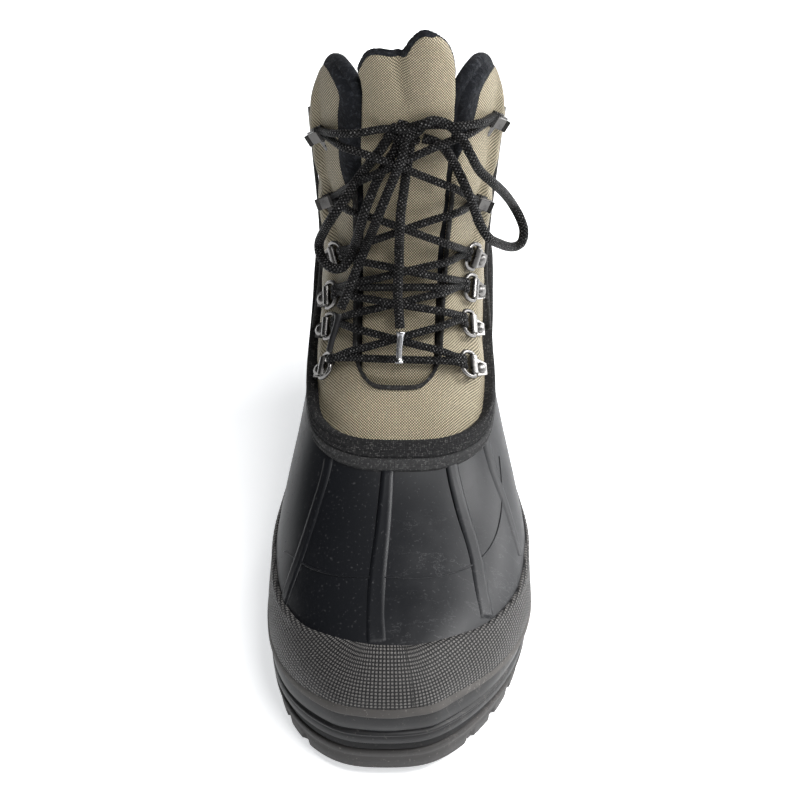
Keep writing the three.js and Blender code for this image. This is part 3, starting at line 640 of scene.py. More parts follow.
def on_surface(points, count, lift=0.0, rounds=2):
    """A smooth line through [x, share, z] rows, laid on the last."""
    rough = catmull([[x, from_toe(share), z] for x, share, z in points], count)
    laid = [on_last(p, lift) for p in rough]
    line = np.array([p for p, _ in laid])
    outs = np.array([o for _, o in laid])
    for _ in range(rounds):
        ease(line)
        ease(outs)
    return line, outs / np.linalg.norm(outs, axis=1, keepdims=True)


# Materials.
class Look:
    """A material's nodes, named by short calls."""

    def __init__(self, name, color, rough=0.6, metal=0.0, **more):
        self.mat = bpy.data.materials.new(name)
        self.mat.use_nodes = True
        self.tree = self.mat.node_tree
        self.shader = self.tree.nodes["Principled BSDF"]
        self.shader.inputs["Base Color"].default_value = (*color, 1)
        self.shader.inputs["Roughness"].default_value = rough
        self.shader.inputs["Metallic"].default_value = metal
        for key, value in more.items():
            self.shader.inputs[key.replace("_", " ")].default_value = value

    def feed(self, n, key, value):
        """Links a value into a node's input, or sets it there."""
        if isinstance(value, bpy.types.NodeSocket):
            self.tree.links.new(value, n.inputs[key])
        else:
            n.inputs[key].default_value = value

    def node(self, kind, **inputs):
        n = self.tree.nodes.new(kind)
        for key, value in inputs.items():
            self.feed(n, key, value)
        return n

    def math(self, op, a, b=0.0, clamp=False):
        n = self.tree.nodes.new("ShaderNodeMath")
        n.operation = op
        n.use_clamp = clamp
        self.feed(n, 0, a)
        self.feed(n, 1, b)
        return n.outputs[0]

    def times(self, *values):
        out = values[0]
        for value in values[1:]:
            out = self.math("MULTIPLY", out, value)
        return out

    def plus(self, a, b, clamp=False):
        return self.math("ADD", a, b, clamp)

    def wave(self, value, pitch):
        return self.math("SINE", self.times(value, math.pi / pitch))

    def size(self, value):
        return self.math("ABSOLUTE", value)

    def uv(self):
        n = self.tree.nodes.new("ShaderNodeUVMap")
        n.uv_map = "cloth"
        split = self.node("ShaderNodeSeparateXYZ", Vector=n.outputs[0])
        return self.times(split.outputs[0], 100), self.times(split.outputs[1], 100)

    def place(self):
        return self.tree.nodes.new("ShaderNodeTexCoord").outputs["Object"]

    def noise(self, scale, detail=3.0, rough=0.5, stretch=None):
        at = self.place()
        if stretch:
            at = self.node("ShaderNodeMapping", Vector=at, Scale=stretch).outputs[0]
        n = self.node("ShaderNodeTexNoise", Vector=at, Scale=scale, Detail=detail, Roughness=rough)
        return n.outputs["Fac"]

    def ramp(self, value, low, high, a=0.0, b=1.0):
        n = self.tree.nodes.new("ShaderNodeMapRange")
        n.interpolation_type = "SMOOTHSTEP"
        self.tree.links.new(value, n.inputs["Value"])
        for key, number in (("From Min", low), ("From Max", high), ("To Min", a), ("To Max", b)):
            n.inputs[key].default_value = number
        return n.outputs["Result"]

    def mix(self, fac, a, b):
        n = self.tree.nodes.new("ShaderNodeMix")
        n.data_type = "RGBA"
        for key, value in ((0, fac), (6, a), (7, b)):
            self.feed(n, key, (*value, 1) if isinstance(value, tuple) else value)
        return n.outputs[2]

    def color(self, value):
        self.tree.links.new(value, self.shader.inputs["Base Color"])

    def rough(self, value):
        self.tree.links.new(value, self.shader.inputs["Roughness"])

    def bump(self, height_value, distance, strength=1.0, after=None):
        n = self.node("ShaderNodeBump", Height=height_value, Strength=strength, Distance=distance)
        if after is not None:
            self.tree.links.new(after, n.inputs["Normal"])
        self.tree.links.new(n.outputs[0], self.shader.inputs["Normal"])
        return n.outputs[0]


def nylon_look(name, light, dark, shade):
    look = Look(name, light, 0.6, Specular_IOR_Level=0.3)
    u, v = look.uv()
    wobble = look.times(look.plus(look.noise(90, 2), -0.5), 0.3)
    a = look.wave(look.plus(u, wobble), NYLON_PITCH)
    b = look.wave(look.plus(v, wobble), NYLON_PITCH)
    gap = look.times(look.ramp(look.size(a), 0.0, 0.65), look.ramp(look.size(b), 0.0, 0.65))
    checker = look.ramp(look.times(a, b), -0.4, 0.4)
    cloud = look.noise(14, 4, 0.6)
    fibre = look.noise(900, 2, 0.6)
    base = look.mix(checker, dark, light)
    base = look.mix(look.ramp(gap, 0.0, 0.7, 0.92, 0.0), base, shade)
    base = look.mix(look.ramp(cloud, 0.35, 0.7, 0.0, 0.18), base, shade)
    look.color(look.mix(look.ramp(fibre, 0.5, 0.8, 0.0, 0.3), base, light))
    tall = look.plus(look.times(checker, 0.45), look.times(gap, 0.55))
    first = look.bump(look.noise(26, 4, 0.55), 0.0012, 0.5)
    look.bump(tall, 0.0004, 1.0, after=first)
    return look.mat


def rubber_look(name, color, dust_and_dot_highlight, rough, scuff, dots=False):
    look = Look(name, color, rough, Specular_IOR_Level=0.3)
    cloud = look.noise(9, 5, 0.62)
    specks = look.noise(800, 2, 0.5)
    streak = look.noise(60, 3, 0.6, stretch=(1.0, 0.35, 1.6))
    scratch = look.size(look.plus(look.noise(22, 6, 0.7, stretch=(1.0, 2.2, 0.6)), -0.5))
    haze = look.times(look.ramp(cloud, 0.42, 0.74), look.ramp(streak, 0.3, 0.75))
    fine = look.ramp(specks, 0.66, 0.7)
    mark = look.times(look.ramp(scratch, 0.007, 0.0), look.ramp(cloud, 0.45, 0.6))
    grime = look.plus(look.times(haze, 0.3 * scuff), look.times(fine, 0.4 * scuff), clamp=True)
    grime = look.plus(grime, look.times(mark, 0.6 * scuff), clamp=True)
    skin_color = look.mix(grime, color, dust_and_dot_highlight)
    look.color(skin_color)
    dull = look.plus(look.times(haze, 0.25), look.times(fine, 0.3))
    look.rough(look.plus(rough, dull, clamp=True))
    first = look.bump(look.noise(34, 5, 0.55), 0.0006, 0.35)
    second = look.bump(look.noise(700, 2, 0.5), 0.00005, 0.5, after=first)
    if dots:
        u, v = look.uv()
        bead = look.times(look.size(look.wave(u, DOT_WIDTH)), look.size(look.wave(v, DOT_HEIGHT)))
        bead = look.ramp(bead, 0.12, 0.8)
        look.bump(bead, 0.0009, 1.0, after=second)
        # The dot tops take 60% of the dust colour as a painted highlight, and the gaps between the dots are
        # painted near black as painted shade.
        look.color(look.mix(bead, (0.016, 0.016, 0.0165), look.mix(0.6, skin_color, dust_and_dot_highlight)))
    return look.mat


def woven_look(name, color, glint, pitch, rough):
    look = Look(name, color, rough, Specular_IOR_Level=0.25)
    u, v = look.uv()
    a = look.wave(look.plus(u, v), pitch)
    b = look.wave(look.math("SUBTRACT", u, v), pitch)
    weave = look.ramp(look.times(a, b), -0.5, 0.5)
    speck = look.ramp(look.noise(900, 2, 0.6), 0.5, 0.7)
    look.color(look.mix(look.times(speck, look.ramp(weave, 0.2, 1.0)), color, glint))
    look.bump(weave, 0.0005, 1.0, after=look.bump(look.noise(300, 3, 0.6), 0.0004, 0.6))
    return look.mat


def fleece_look(name, color, glint):
    look = Look(name, color, 0.95, Specular_IOR_Level=0.1, Sheen_Weight=0.05, Sheen_Roughness=0.7)
    curl = look.noise(420, 4, 0.7)
    tuft = look.noise(130, 4, 0.65)
    look.color(look.mix(look.ramp(curl, 0.5, 0.75, 0.0, 0.7), color, glint))
    look.bump(curl, 0.0011, 1.0, after=look.bump(tuft, 0.0014, 0.8))
    return look.mat


def lace_look(name):
    look = Look(name, (0.006, 0.006, 0.0065), 0.42, Specular_IOR_Level=0.13)
    u, v = look.uv()
    turn = look.times(v, 6 / LACE)
    run = look.times(u, 2 * math.pi / BRAID_PITCH)
    slanted = look.plus(run, turn)
    crossing = look.math("SUBTRACT", run, turn)
    weave = look.size(look.times(look.math("SINE", slanted), look.math("SINE", crossing)))
    bead = look.ramp(weave, 0.02, 0.6)
    yarns = look.math("SINE", look.times(slanted, 5))
    speck = look.ramp(look.noise(1700, 2, 0.6), 0.5, 0.66)
    glint = look.times(look.ramp(weave, 0.3, 0.8), speck, look.ramp(yarns, -0.4, 0.9, 0.25, 1.0))
    # The grooves between the braid's beads are painted near black as painted shade.
    dark = look.mix(bead, (0.0005, 0.0005, 0.0006), (0.009, 0.009, 0.0095))
    look.color(look.mix(glint, dark, (0.36, 0.355, 0.35)))
    look.rough(look.ramp(bead, 0.0, 1.0, 0.85, 0.4))
    look.bump(look.plus(bead, look.times(yarns, 0.06)), 0.0019, 1.0)
    return look.mat


def metal_look(name, color, rough):
    look = Look(name, color, rough, 1.0)
    worn = look.noise(160, 4, 0.6)
    look.rough(look.ramp(worn, 0.3, 0.8, rough * 0.8, rough * 1.7))
    look.color(look.mix(look.ramp(worn, 0.4, 0.8), color, tuple(c * 0.7 for c in color)))
    look.bump(look.noise(500, 2, 0.5), 0.00001, 0.3)
    return look.mat


OLIVE = nylon_look("olive_nylon", (0.68, 0.595, 0.42), (0.13, 0.11, 0.07), (0.015, 0.013, 0.01))
RUBBER = rubber_look("shell_rubber", (0.005, 0.0057, 0.0076), (0.15, 0.15, 0.155), 0.42, 0.45)
# The bumper's dust colour also paints the highlight on its dot tops.
BUMPER = rubber_look("bumper_rubber", (0.03, 0.029, 0.029), (0.21, 0.2, 0.192), 0.5, 0.5, dots=True)
FOXING = rubber_look("band_rubber", (0.014, 0.014, 0.015), (0.15, 0.14, 0.13), 0.45, 0.7)
LIP = rubber_look("lip_rubber", (0.06, 0.056, 0.053), (0.26, 0.245, 0.23), 0.7, 1.0)
TREAD = rubber_look("tread_rubber", (0.036, 0.034, 0.033), (0.22, 0.2, 0.19), 0.65, 1.0)
BAND = woven_look("woven_band", (0.014, 0.014, 0.015), (0.13, 0.126, 0.122), 0.8, 0.8)
BAND_FOOT = woven_look("woven_foot", (0.034, 0.034, 0.035), (0.17, 0.168, 0.164), 0.62, 0.6)
WEBBING = woven_look("webbing", (0.02, 0.0195, 0.019), (0.13, 0.126, 0.122), 0.6, 0.75)
FLEECE = fleece_look("fleece", (0.005, 0.006, 0.0085), (0.05, 0.055, 0.065))
CORD = lace_look("lace")
METAL = metal_look("gunmetal", (0.2, 0.194, 0.188), 0.23)
HOOK_METAL = metal_look("black_nickel", (0.1, 0.097, 0.094), 0.2)
TIP_METAL = metal_look("tip_metal", (0.4, 0.4, 0.41), 0.22)
TIP_BLACK = rubber_look("tip_black", (0.008, 0.008, 0.009), (0.1, 0.1, 0.1), 0.3, 0.2)


# Camera, floor and light.
def set_stage():
    camera = bpy.data.cameras.new("camera")
    camera.lens = CAMERA_LENS
    camera.sensor_width = 36
    holder = bpy.data.objects.new("camera", camera)
    holder.location = CAMERA
    back = Vector(CAMERA) - Vector((0, -0.014, 0.105))
    holder.rotation_euler = back.to_track_quat("Z", "Y").to_euler()
    bpy.context.scene.collection.objects.link(holder)
    bpy.context.scene.camera = holder
    world = bpy.data.worlds.new("studio")
    world.use_nodes = True
    nodes, links = world.node_tree.nodes, world.node_tree.links
    split = nodes.new("ShaderNodeSeparateXYZ")
    links.new(nodes.new("ShaderNodeTexCoord").outputs["Generated"], split.inputs[0])
    fade = nodes.new("ShaderNodeMapRange")
    links.new(split.outputs[0], fade.inputs["Value"])
    for key, number in (("From Min", -0.7), ("From Max", 0.8), ("To Min", 0.04), ("To Max", 0.66)):
        fade.inputs[key].default_value = number
    links.new(fade.outputs["Result"], nodes["Background"].inputs[1])
    nodes["Background"].inputs[0].default_value = (0.98, 0.985, 1, 1)
    bpy.context.scene.world = world
    bpy.context.scene.view_settings.view_transform = "Standard"
    bpy.ops.mesh.primitive_plane_add(size=6, location=(0, 0.6, 0))
    floor = bpy.context.object
    floor.name = "floor"
    look = Look("floor", (0.93, 0.935, 0.94), 0.9)
    tone = look.ramp(look.noise(2, 2), 0.3, 0.7)
    look.color(look.mix(tone, (0.93, 0.935, 0.94), (0.95, 0.95, 0.955)))
    look.shader.inputs["Emission Color"].default_value = (0.97, 0.985, 1, 1)
    look.shader.inputs["Emission Strength"].default_value = 0.6
    floor.data.materials.append(look.mat)
    for name, place, size, power in (
        ("key", (1.1, -0.1, 1.15), 0.5, 20),
        ("side", (1.25, 0.5, 0.45), 0.6, 11),
        ("front", (0.3, -0.75, 1.35), 0.4, 10),
        ("fill", (-1.1, -0.9, 0.9), 0.8, 0.7),
    ):
        light = bpy.data.lights.new(name, "AREA")
        light.size = size
        light.energy = power
        lamp = bpy.data.objects.new(name, light)
        lamp.location = place
        lamp.rotation_euler = (Vector(place) - Vector((0, 0, 0.1))).to_track_quat("Z", "Y").to_euler()
        bpy.context.scene.collection.objects.link(lamp)


set_stage()


# Creases of the shaft: height, slant, reach, depth, and where round it each starts and is full, in mm.
CREASES = [
    [176, 0.10, 7.0, 1.3, 30, 60],
    [146, 0.16, 6.0, 1.1, 50, 90],
    [203, -0.05, 5.0, 0.7, 40, 70],
    [126, 0.22, 5.0, 0.8, 60, 95],
]


# Fields over the last: each is above zero where the piece is kept.
def throat_middle(z):
    return lerp(THROAT_MIDDLE_LOW, THROAT_MIDDLE_HIGH, (z - THROAT_LOW) / (COLLAR_HEIGHT - THROAT_LOW))


def throat_half(z):
    share = np.clip((z - THROAT_LOW) / (COLLAR_HEIGHT - THROAT_LOW), 0, 1.3)
    return lerp(THROAT_HALF_LOW, THROAT_HALF_HIGH, share)


def throat_gap(d):
    """How far a place lies outside the throat's edge, in mm across the front."""
    x, y, z = d[:, 0], d[:, 1], d[:, 2]
    dx = np.abs(x - throat_middle(z)) - (throat_half(z) - THROAT_CORNER)
    dz = (THROAT_LOW + THROAT_CORNER) - z
    corner = np.hypot(np.maximum(dx, 0), np.maximum(dz, 0)) + np.minimum(np.maximum(dx, dz), 0)
    return np.where(y > float(from_toe(0.7)), 60.0, corner - THROAT_CORNER)


def collar_gap(d):
    return smooth_height(COLLAR, d[:, 1], COLLAR_HEIGHT) - d[:, 2]


def rounded(a, b, radius):
    """Both above zero, with the corner between them rounded."""
    u, v = np.maximum(radius - a, 0), np.maximum(radius - b, 0)
    return np.where((u > 0) & (v > 0), radius - np.hypot(u, v), np.minimum(a, b))


def softened(edge, radius):
    """How far a face has turned down at a distance from its edge, with a round corner."""
    return radius - np.sqrt(np.maximum(radius**2 - np.maximum(radius - edge, 0) ** 2, 0))


def shaft_edge(d):
    return rounded(throat_gap(d) - 1.0, collar_gap(d) - 1.5, 13.0)


def nylon_edge(d):
    """Where the nylon begins: the padded edge above the hooks is faced with fleece."""
    outer = 9.5 * ramp(d[:, 2], 198, 238)
    inner = 8.5 * ramp(d[:, 2], 178, 206) - 3.5 * ramp(d[:, 2], 226, 246)
    return shaft_edge(d) - np.where(d[:, 0] > 0, outer, inner) * (1 - ramp(d[:, 1], 25, 60)) - 0.2


def rim_gap(d):
    return d[:, 2] - smooth_height(RIM, d[:, 1], reach=3)


def wall_depth(z):
    return SHELL_WALL + 0.3 + lerp(2.6, 6, ramp(z, 95, 125))


def hardware_rows(side):
    """Heights of the rings and hooks of one side, and how far round the last their bars are."""
    rows = []
    for name, share, tall in HARDWARE:
        if ("lateral" in name) == (side > 0):
            rows.append((tall, abs(place_of(side, share, tall)[6])))
    rows.sort()
    return np.array(rows).T


def wall_lift(data):
    x, y, z = data[:, 0], data[:, 1], data[:, 2]
    edge = shaft_edge(data)
    side = np.abs(data[:, 6])
    puff = 1.2 * ramp(z, 150, 215) * ramp(edge, 0, 16)
    belt = ramp(z, 106, 120) * (1 - ramp(z, 150, 190))
    puff += 0.9 * belt * ramp(side, 45, 75) * (1 - ramp(side, 105, 135))
    for level, slant, reach, deep, low, high in CREASES:
        gap = (z - level - slant * (y - 20)) / reach
        puff -= deep * np.exp(-(gap**2)) * ramp(side, low, high)
    puff += 0.4 * np.sin(z / 6.1 + 1.3 * np.sin(y / 19.0)) * ramp(side, 30, 70) * ramp(z, 120, 150)
    puff += 0.5 * np.sin(x / 7.0 + 0.6) * np.sin(z / 9.0) * (1 - ramp(z, 104, 125)) * ramp(z, 92, 100)
    for way in (1, -1):
        tall, bars = HARDWARE_ROWS[way]
        past = side - np.interp(z, tall, bars)
        pad = PAD_PUFF * ramp(past, -3, 9) * (1 - ramp(past, 13, 34))
        pad *= ramp(z, 100, 112) * (1 - ramp(z, 222, 240))
        puff += np.where(np.sign(x) == way, pad, 0)
    return -SHELL_WALL - 0.25 + puff - 0.55 * softened(edge, WALL_ROLL) * ramp(z, 128, 150)


def wall_skin(data):
    """The outer face of the padded wall, brought forward where the hardware sits and the flaps are full."""
    out = lifted(data, wall_lift(data))
    side, z = np.abs(data[:, 6]), data[:, 2]
    for way in (1, -1):
        tall, bars = HARDWARE_ROWS[way]
        past = side - np.interp(z, tall, bars)
        push = lerp(PAD_PUSH, FLAP_PUSH, ramp(z, 150, 185)) * ramp(z, 100, 116) * (1 - ramp(z, 236, 264))
        push *= ramp(past, -4, 15) * (1 - ramp(past, 18, 54))
        out[:, 1] -= np.where(np.sign(data[:, 0]) == way, push, 0)
    return out


def wall_inside(data):
    return wall_depth(data[:, 2]) + 3.0 * ramp(data[:, 2], 128, 150)


def place_of(side, share, tall):
    """The row of data at a height and a distance from the toe, on one side of the last."""
    y = float(from_toe(share))
    half = COLUMNS // 2
    near = slice(half, COLUMNS + 1) if side < 0 else slice(0, half + 1)
    block = GRID[:, near]
    miss = np.where(block[..., 2] > 60, np.hypot(block[..., 1] - y, block[..., 2] - tall), 1e9)
    i, j = np.unravel_index(np.argmin(miss), miss.shape)
    return data_at([block[i, j, 0], y, tall])


HARDWARE_ROWS = {way: hardware_rows(way) for way in (1, -1)}


def on_wall(row):
    return wall_skin(row[None])[0]


def cloth(data):
    """Where each place lies on the cloth: along the front's width, and up it."""
    high = ramp(data[:, 2], 120, 170)
    return np.stack([lerp(data[:, 6], data[:, 8], high), data[:, 7]], 1)


# Lace: where each strand is held, and the cords that follow.
def seat(side, share, tall):
    """A ring's or hook's own place and axes on the padded wall: base, inward, up, out."""
    row = place_of(side, share, tall)
    base = on_wall(row)
    across = np.array([side, 0, 0]) - row[3:6] * row[3] * side
    across /= np.linalg.norm(across)
    rise = np.cross(row[3:6], across) * side
    turns = [across * math.cos(t) + rise * math.sin(t) for t in np.linspace(-1, 1, 33)]
    outers = [on_wall(data_at(row[:3] + turn * 9)) for turn in turns]
    drop = [abs((q - base).dot([0, 0.616, 0.788]) + 1.2) for q in outers]
    inward = base - outers[int(np.argmin(drop))]
    inward /= np.linalg.norm(inward)
    above, below = on_wall(data_at(row[:3] + [0, 0, 4])), on_wall(data_at(row[:3] - [0, 0, 4]))
    up = above - below
    up -= inward * up.dot(inward)
    up /= np.linalg.norm(up)
    out = np.cross(up, inward) * side
    out *= np.sign(out.dot(row[3:6]))
    return base + out * 0.2, inward, up, out


SEATS = {}
for name, share, tall in HARDWARE:
    SEATS[name] = seat(1 if "lateral" in name else -1, share, tall)


def at_seat(name, a, b, c):
    base, inward, up, out = SEATS[name]
    return base + inward * a + up * b + out * c


def rope(path, radius=LACE / 2, sides=14, step=1.1, closed=False):
    run = np.linalg.norm(np.diff(np.array(path), axis=0), axis=1).sum()
    line = catmull(path, max(4, int(run / step)), closed)
    return line, sweep(line, round_section(radius, sides), closed)


def rope_object(name, parts, mat):
    points, faces, uv = joined(*parts)
    return mesh_object(name, points, faces, mat, uv=uv)


def over_front(a, b, t, lift):
    """A place on the front of the last, met from the front and above, between two ends."""
    way = Vector((0, 0.8, -0.6))
    start = Vector(lerp(a, b, t)) - way * 120
    hit = TREE.ray_cast(start, way)[0] or Vector(lerp(a, b, t))
    return on_last(np.array(hit), lift)[0]


def strand(start, end, lift):
    ends = []
    for name, way in ((start, 1), (end, -1)):
        places = [(4.6, 1.5, 1.9), (8.6, 1.6, 5.6), (12.5, 1.2, 5.6)]
        if name.startswith("hook"):
            places = [(1.5, 2.2, 3.6), (5.6, 1.2, 4.6)]
        ends.append([at_seat(name, a, b * way, c) for a, b, c in places])
    a, b = ends[0][-1], ends[1][-1]
    middle = [over_front(a, b, t, lift + 2 + 4 * (t - 0.5) ** 2) for t in (0.16, 0.32, 0.5, 0.68, 0.84)]
    return ends[0] + middle + ends[1][::-1]


def xyz(row):
    return np.array([row[0], float(from_toe(row[1])), row[2]])


def make_lace():
    knot = xyz(KNOT)
    runs = [strand(a, b, lift) for a, b, lift in STRANDS]
    for name in ("hook_lateral_6", "hook_medial_6"):
        start = at_seat(name, 5.6, 1.5, 5.0)
        to = lerp(knot, start, 0.03) + np.array([0, -2, 1.5])
        far = lerp(knot, start, 0.3) + np.array([0, -7, 4.5])
        along = [over_front(start, far, t, 5) for t in (0.33, 0.66)]
        runs.append([at_seat(name, 1.5, 2.4, 3.6), start] + along + [far, to])
    crossings = [rope(r, LACE_TIGHT / 2, 12)[1] for r in runs]
    piece(rope_object("lace_crossing_strands", crossings, CORD), "lace_crossings")
    wraps = []
    turn = np.linspace(0, 2 * np.pi, 14, endpoint=False)
    for tilt, shift, radius in KNOT_WRAPS:
        ring = np.stack([1.25 * np.cos(turn), 0.78 * np.sin(turn), tilt * np.cos(turn)], 1) * radius
        wraps.append(rope(ring + knot + np.array(shift), LACE / 2 - 0.15, 12, 1.0, True)[1])
    core = [knot + np.array(shift) for shift in ([-4, 1.5, 2.5], [0, 0.5, 0.5], [2, 1.0, -5.5])]
    wraps.append(rope(core, 3.2, 12, 1.0)[1])
    piece(rope_object("lace_knot_wraps", wraps, CORD), "lace_knot")
    bow = {}
    for name, rows in CORDS.items():
        path = [xyz(r) for r in rows]
        near = [1 - ramp(np.linalg.norm(p - knot), 7, 24) for p in path]
        path = [p - np.array([0, KNOT_FORWARD * n, 0]) for p, n in zip(path, near)]
        line, tube = rope([lerp(path[0], knot, 0.75)] + path)
        obj = piece(rope_object(name + "_cord", [tube], CORD), name)
        bow[name] = (obj, line)
    tips = {}
    for name, rows in TIPS.items():
        line = catmull([xyz(r) for r in rows], 22)
        section = []
        for t in np.linspace(0, 1, 22):
            r = 1.45 + 0.75 * (1 - ramp(t, 0.0, 0.18))
            if name.endswith("_a"):
                r += 0.75 * math.exp(-(((t - 0.95) / 0.045) ** 2))
            section.append(round_section(r, 12))
        mat = TIP_METAL if name.endswith("_a") else TIP_BLACK
        sleeve = rope_object(name + "_sleeve", [sweep(line, np.array(section))], mat)
        tips[name] = piece(sleeve, name)
    for name, (obj, line) in bow.items():
        ended = name.replace("end", "tip")
        far = "fitting" if ended in tips else "knot"


make_lace()


# Hardware: wire rings held in folded clips with domed rivets, and hooks.
def seated(name, points):
    base, inward, up, out = SEATS[name]
    return base + points[:, :1] * inward + points[:, 1:2] * up + points[:, 2:] * out


def turned(faces, side):
    return [f[::-1] for f in faces] if side > 0 else faces


def prism(outline, half):
    """An [x, z] outline of the seat, carried along y, with narrowed ends for a soft edge."""
    ring = np.array(outline, float)
    middle = ring.mean(0)
    ends = [(half, 0.3), (half - 0.12, 0.1), (half - 0.35, 0.0)]
    rows = [(-y, inset) for y, inset in ends] + ends[::-1]
    away = ring - middle
    away /= np.linalg.norm(away, axis=1, keepdims=True) + 1e-9
    points, m = [], len(ring)
    for y, inset in rows:
        points += [[x, y, z] for x, z in ring - away * inset]
    faces = between(len(rows), m)
    faces += [list(range(m))[::-1], [(len(rows) - 1) * m + k for k in range(m)]]
    return np.array(points), faces


def dome(x, z, radius, tall):
    points, n = [], 18
    rows = [(1.0, 0), (1.0, 0.14), (0.92, 0.42), (0.75, 0.7), (0.5, 0.9), (0.22, 0.99)]
    for r, h in rows:
        for k in range(n):
            a = 2 * math.pi * k / n
            points.append([x + radius * r * math.cos(a), radius * r * math.sin(a), z + tall * h])
    points.append([x, 0, z + tall])
    top = len(points) - 1
    faces = between(len(rows), n)
    faces += [[top - n + k, top - n + (k + 1) % n, top] for k in range(n)]
    return np.array(points), faces + [list(range(n))[::-1]]


def stacked(*parts):
    points, faces, base = [], [], 0
    for p, f in parts:
        points.append(p)
        faces += [[k + base for k in q] for q in f]
        base += len(p)
    return np.vstack(points), faces


def make_hook(name, side):
    outline = [
        [-6, 0.3], [3.9, 0.3], [4.5, 0.9], [4.5, 4.6], [4.1, 5.6], [3.0, 6.2], [-2.4, 5.7], [-4.0, 6.7],
        [-4.6, 6.1], [-3.0, 4.7], [2.8, 5.0], [3.3, 4.4], [3.3, 2.0], [2.9, 1.4], [-6, 1.4],
    ]
    arm = prism(outline[::-1], HOOK_WIDTH / 2)
    base, low = prism([[-3.2, 0.2], [-3.4, 0.5], [-3.2, 1.0], [3.2, 1.0], [3.4, 0.5], [3.2, 0.2]], 7.0)
    base[:, 0] *= 1 - 0.25 * ramp(-base[:, 1], 2, 7.0)
    base[:, 1] -= 3.6
    rivet, cap = dome(0, 0.9, 2.1, 1.5)
    rivet[:, 1] -= 7.6
    points, faces = stacked(arm, (base, low), (rivet, cap))
    obj = mesh_object(name + "_plate", seated(name, points), turned(faces, side), HOOK_METAL, smooth=False)
    piece(obj, name)


def make_clip(name, side):
    fold = [[2.0 * math.cos(a), BAR_HEIGHT + 2.0 * math.sin(a)] for a in np.radians(np.arange(150, -61, -15))]
    outline = [[-9.3, 0.3], [-9.3, 1.4], [-3.6, 1.5], [-2.6, 2.3]] + fold + [[0.6, 0.3]]
    points, faces = prism(outline[::-1], CLIP_WIDTH / 2)
    points[:, 1] *= 1 - 0.38 * ramp(-points[:, 0], 2.5, 9.3)
    points, faces = stacked((points, faces), dome(-6.0, 1.2, 2.75, 2.0))
    obj = mesh_object("clip_plate_" + name, seated(name, points), turned(faces, side), METAL, smooth=False)
    piece(obj, "clip_" + name)


def make_ring(name, side):
    half = [[0, 5.6], [3.0, 5.9], [5.9, 5.0], [7.7, 2.7], [8.1, 0]]
    bow = [[x, -y] for x, y in half] + half[-2::-1]
    bar = [[0, y] for y in np.linspace(4.8, -4.8, 8)]
    loop = np.vstack([catmull(bow, 40), bar])
    wire = np.column_stack([loop, BAR_HEIGHT + loop[:, 0] * math.tan(RING_LIFT)])
    ups = np.tile([0.0, 0, 1], (len(wire), 1))
    points, faces, _ = sweep(wire, round_section(RING_WIRE, 10), True, ups=ups)
    obj = mesh_object("ring_" + name, seated(name, points), turned(faces, -side), METAL)
    piece(obj, "d_ring_" + name)


for name in SEATS:
    side = 1 if "lateral" in name else -1
    if name.startswith("hook"):
        make_hook(name, side)
    else:
        make_clip(name, side)
        make_ring(name, side)


# Shaft and vamp: one padded wall with nylon outside, fleece inside and a rolled edge.
def make_upper():
    shaft = [shaft_edge, lambda d: rim_gap(d) + 6]
    data, faces = skin(nylon_edge, shaft[1])
    nylon = mesh_object("upper_nylon", wall_skin(data), faces, OLIVE, uv=cloth(data), merge=0.01)
    piece(nylon, "upper")
    first = BASE[QUADS[:, 0]]
    facing = np.where((first[:, 2] > 140) & (first[:, 1] < 75))[0]
    data, faces = skin(shaft_edge, lambda d: -nylon_edge(d), part=facing)
    bulge = 0.7 * np.sin(np.pi * np.clip(shaft_edge(data) / 8.5, 0, 1)) - 0.35
    points = wall_skin(data) + data[:, 3:6] * bulge[:, None]
    piece(mesh_object("flap_facing", points, faces, FLEECE, uv=data[:, 6:8], merge=0.01), None)
    data, faces = skin(*shaft)
    outer, inner = wall_skin(data), lifted(data, -wall_inside(data))
    points, quads, kinds, steps = [], [], [], 9
    for keep in loops_of(data, faces):
        if rim_gap(data[keep]).mean() < 0:
            continue
        a = outer[keep]
        fullness = lerp(0.1, 0.5, ramp(a[:, 2], 185, 215))
        quads += between(steps, len(keep), len(points))
        points += rolled(a, inner[keep], data[keep, 3:6], steps, fullness)
        edge = np.where(a[:, 1] > 66, 0, 1)
        low = (a[:, 2] < 150) & (a[:, 1] < 60)
        for k in range(steps - 1):
            kinds += list(np.where(low, 2, edge if k < 2 else 1))
    points = np.array(points)
    mats = [OLIVE, FLEECE, WEBBING]
    roll = mesh_object("collar_roll", points, quads, mats, uv=points[:, [0, 2]], face_mat=kinds)
    piece(roll, None)
    data, faces = skin(shaft_edge, lambda d: d[:, 2] - 26)
    inside = lifted(data, -wall_inside(data))
    faces = [f[::-1] for f in faces]
    lining = mesh_object("shaft_lining", inside, faces, FLEECE, uv=data[:, 6:8], merge=0.01)
    piece(lining, "collar_lining")


make_upper()


# Tongue: two padded lobes with a fleece back.
def outline_gap(x, z, outline):
    """How far inside a closed [x, z] outline each place is."""
    ring = catmull(outline, 240, True)
    a, b = ring, np.roll(ring, -1, 0)
    p = np.stack([x, z], 1)
    best = np.full(len(p), 1e9)
    inside = np.zeros(len(p), bool)
    for (ax, az), (bx, bz) in zip(a, b):
        ex, ez = bx - ax, bz - az
        t = np.clip(((p[:, 0] - ax) * ex + (p[:, 1] - az) * ez) / (ex * ex + ez * ez + 1e-9), 0, 1)
        best = np.minimum(best, np.hypot(p[:, 0] - ax - t * ex, p[:, 1] - az - t * ez))
        crossed = (az > p[:, 1]) != (bz > p[:, 1])
        inside ^= crossed & (p[:, 0] < ax + (p[:, 1] - az) * ex / (ez if abs(ez) > 1e-9 else 1e-9))
    return np.where(inside, best, -best)


def tongue_depth(z):
    return wall_depth(z) + 0.3 + 3.3 * ramp(z, 104, 120)


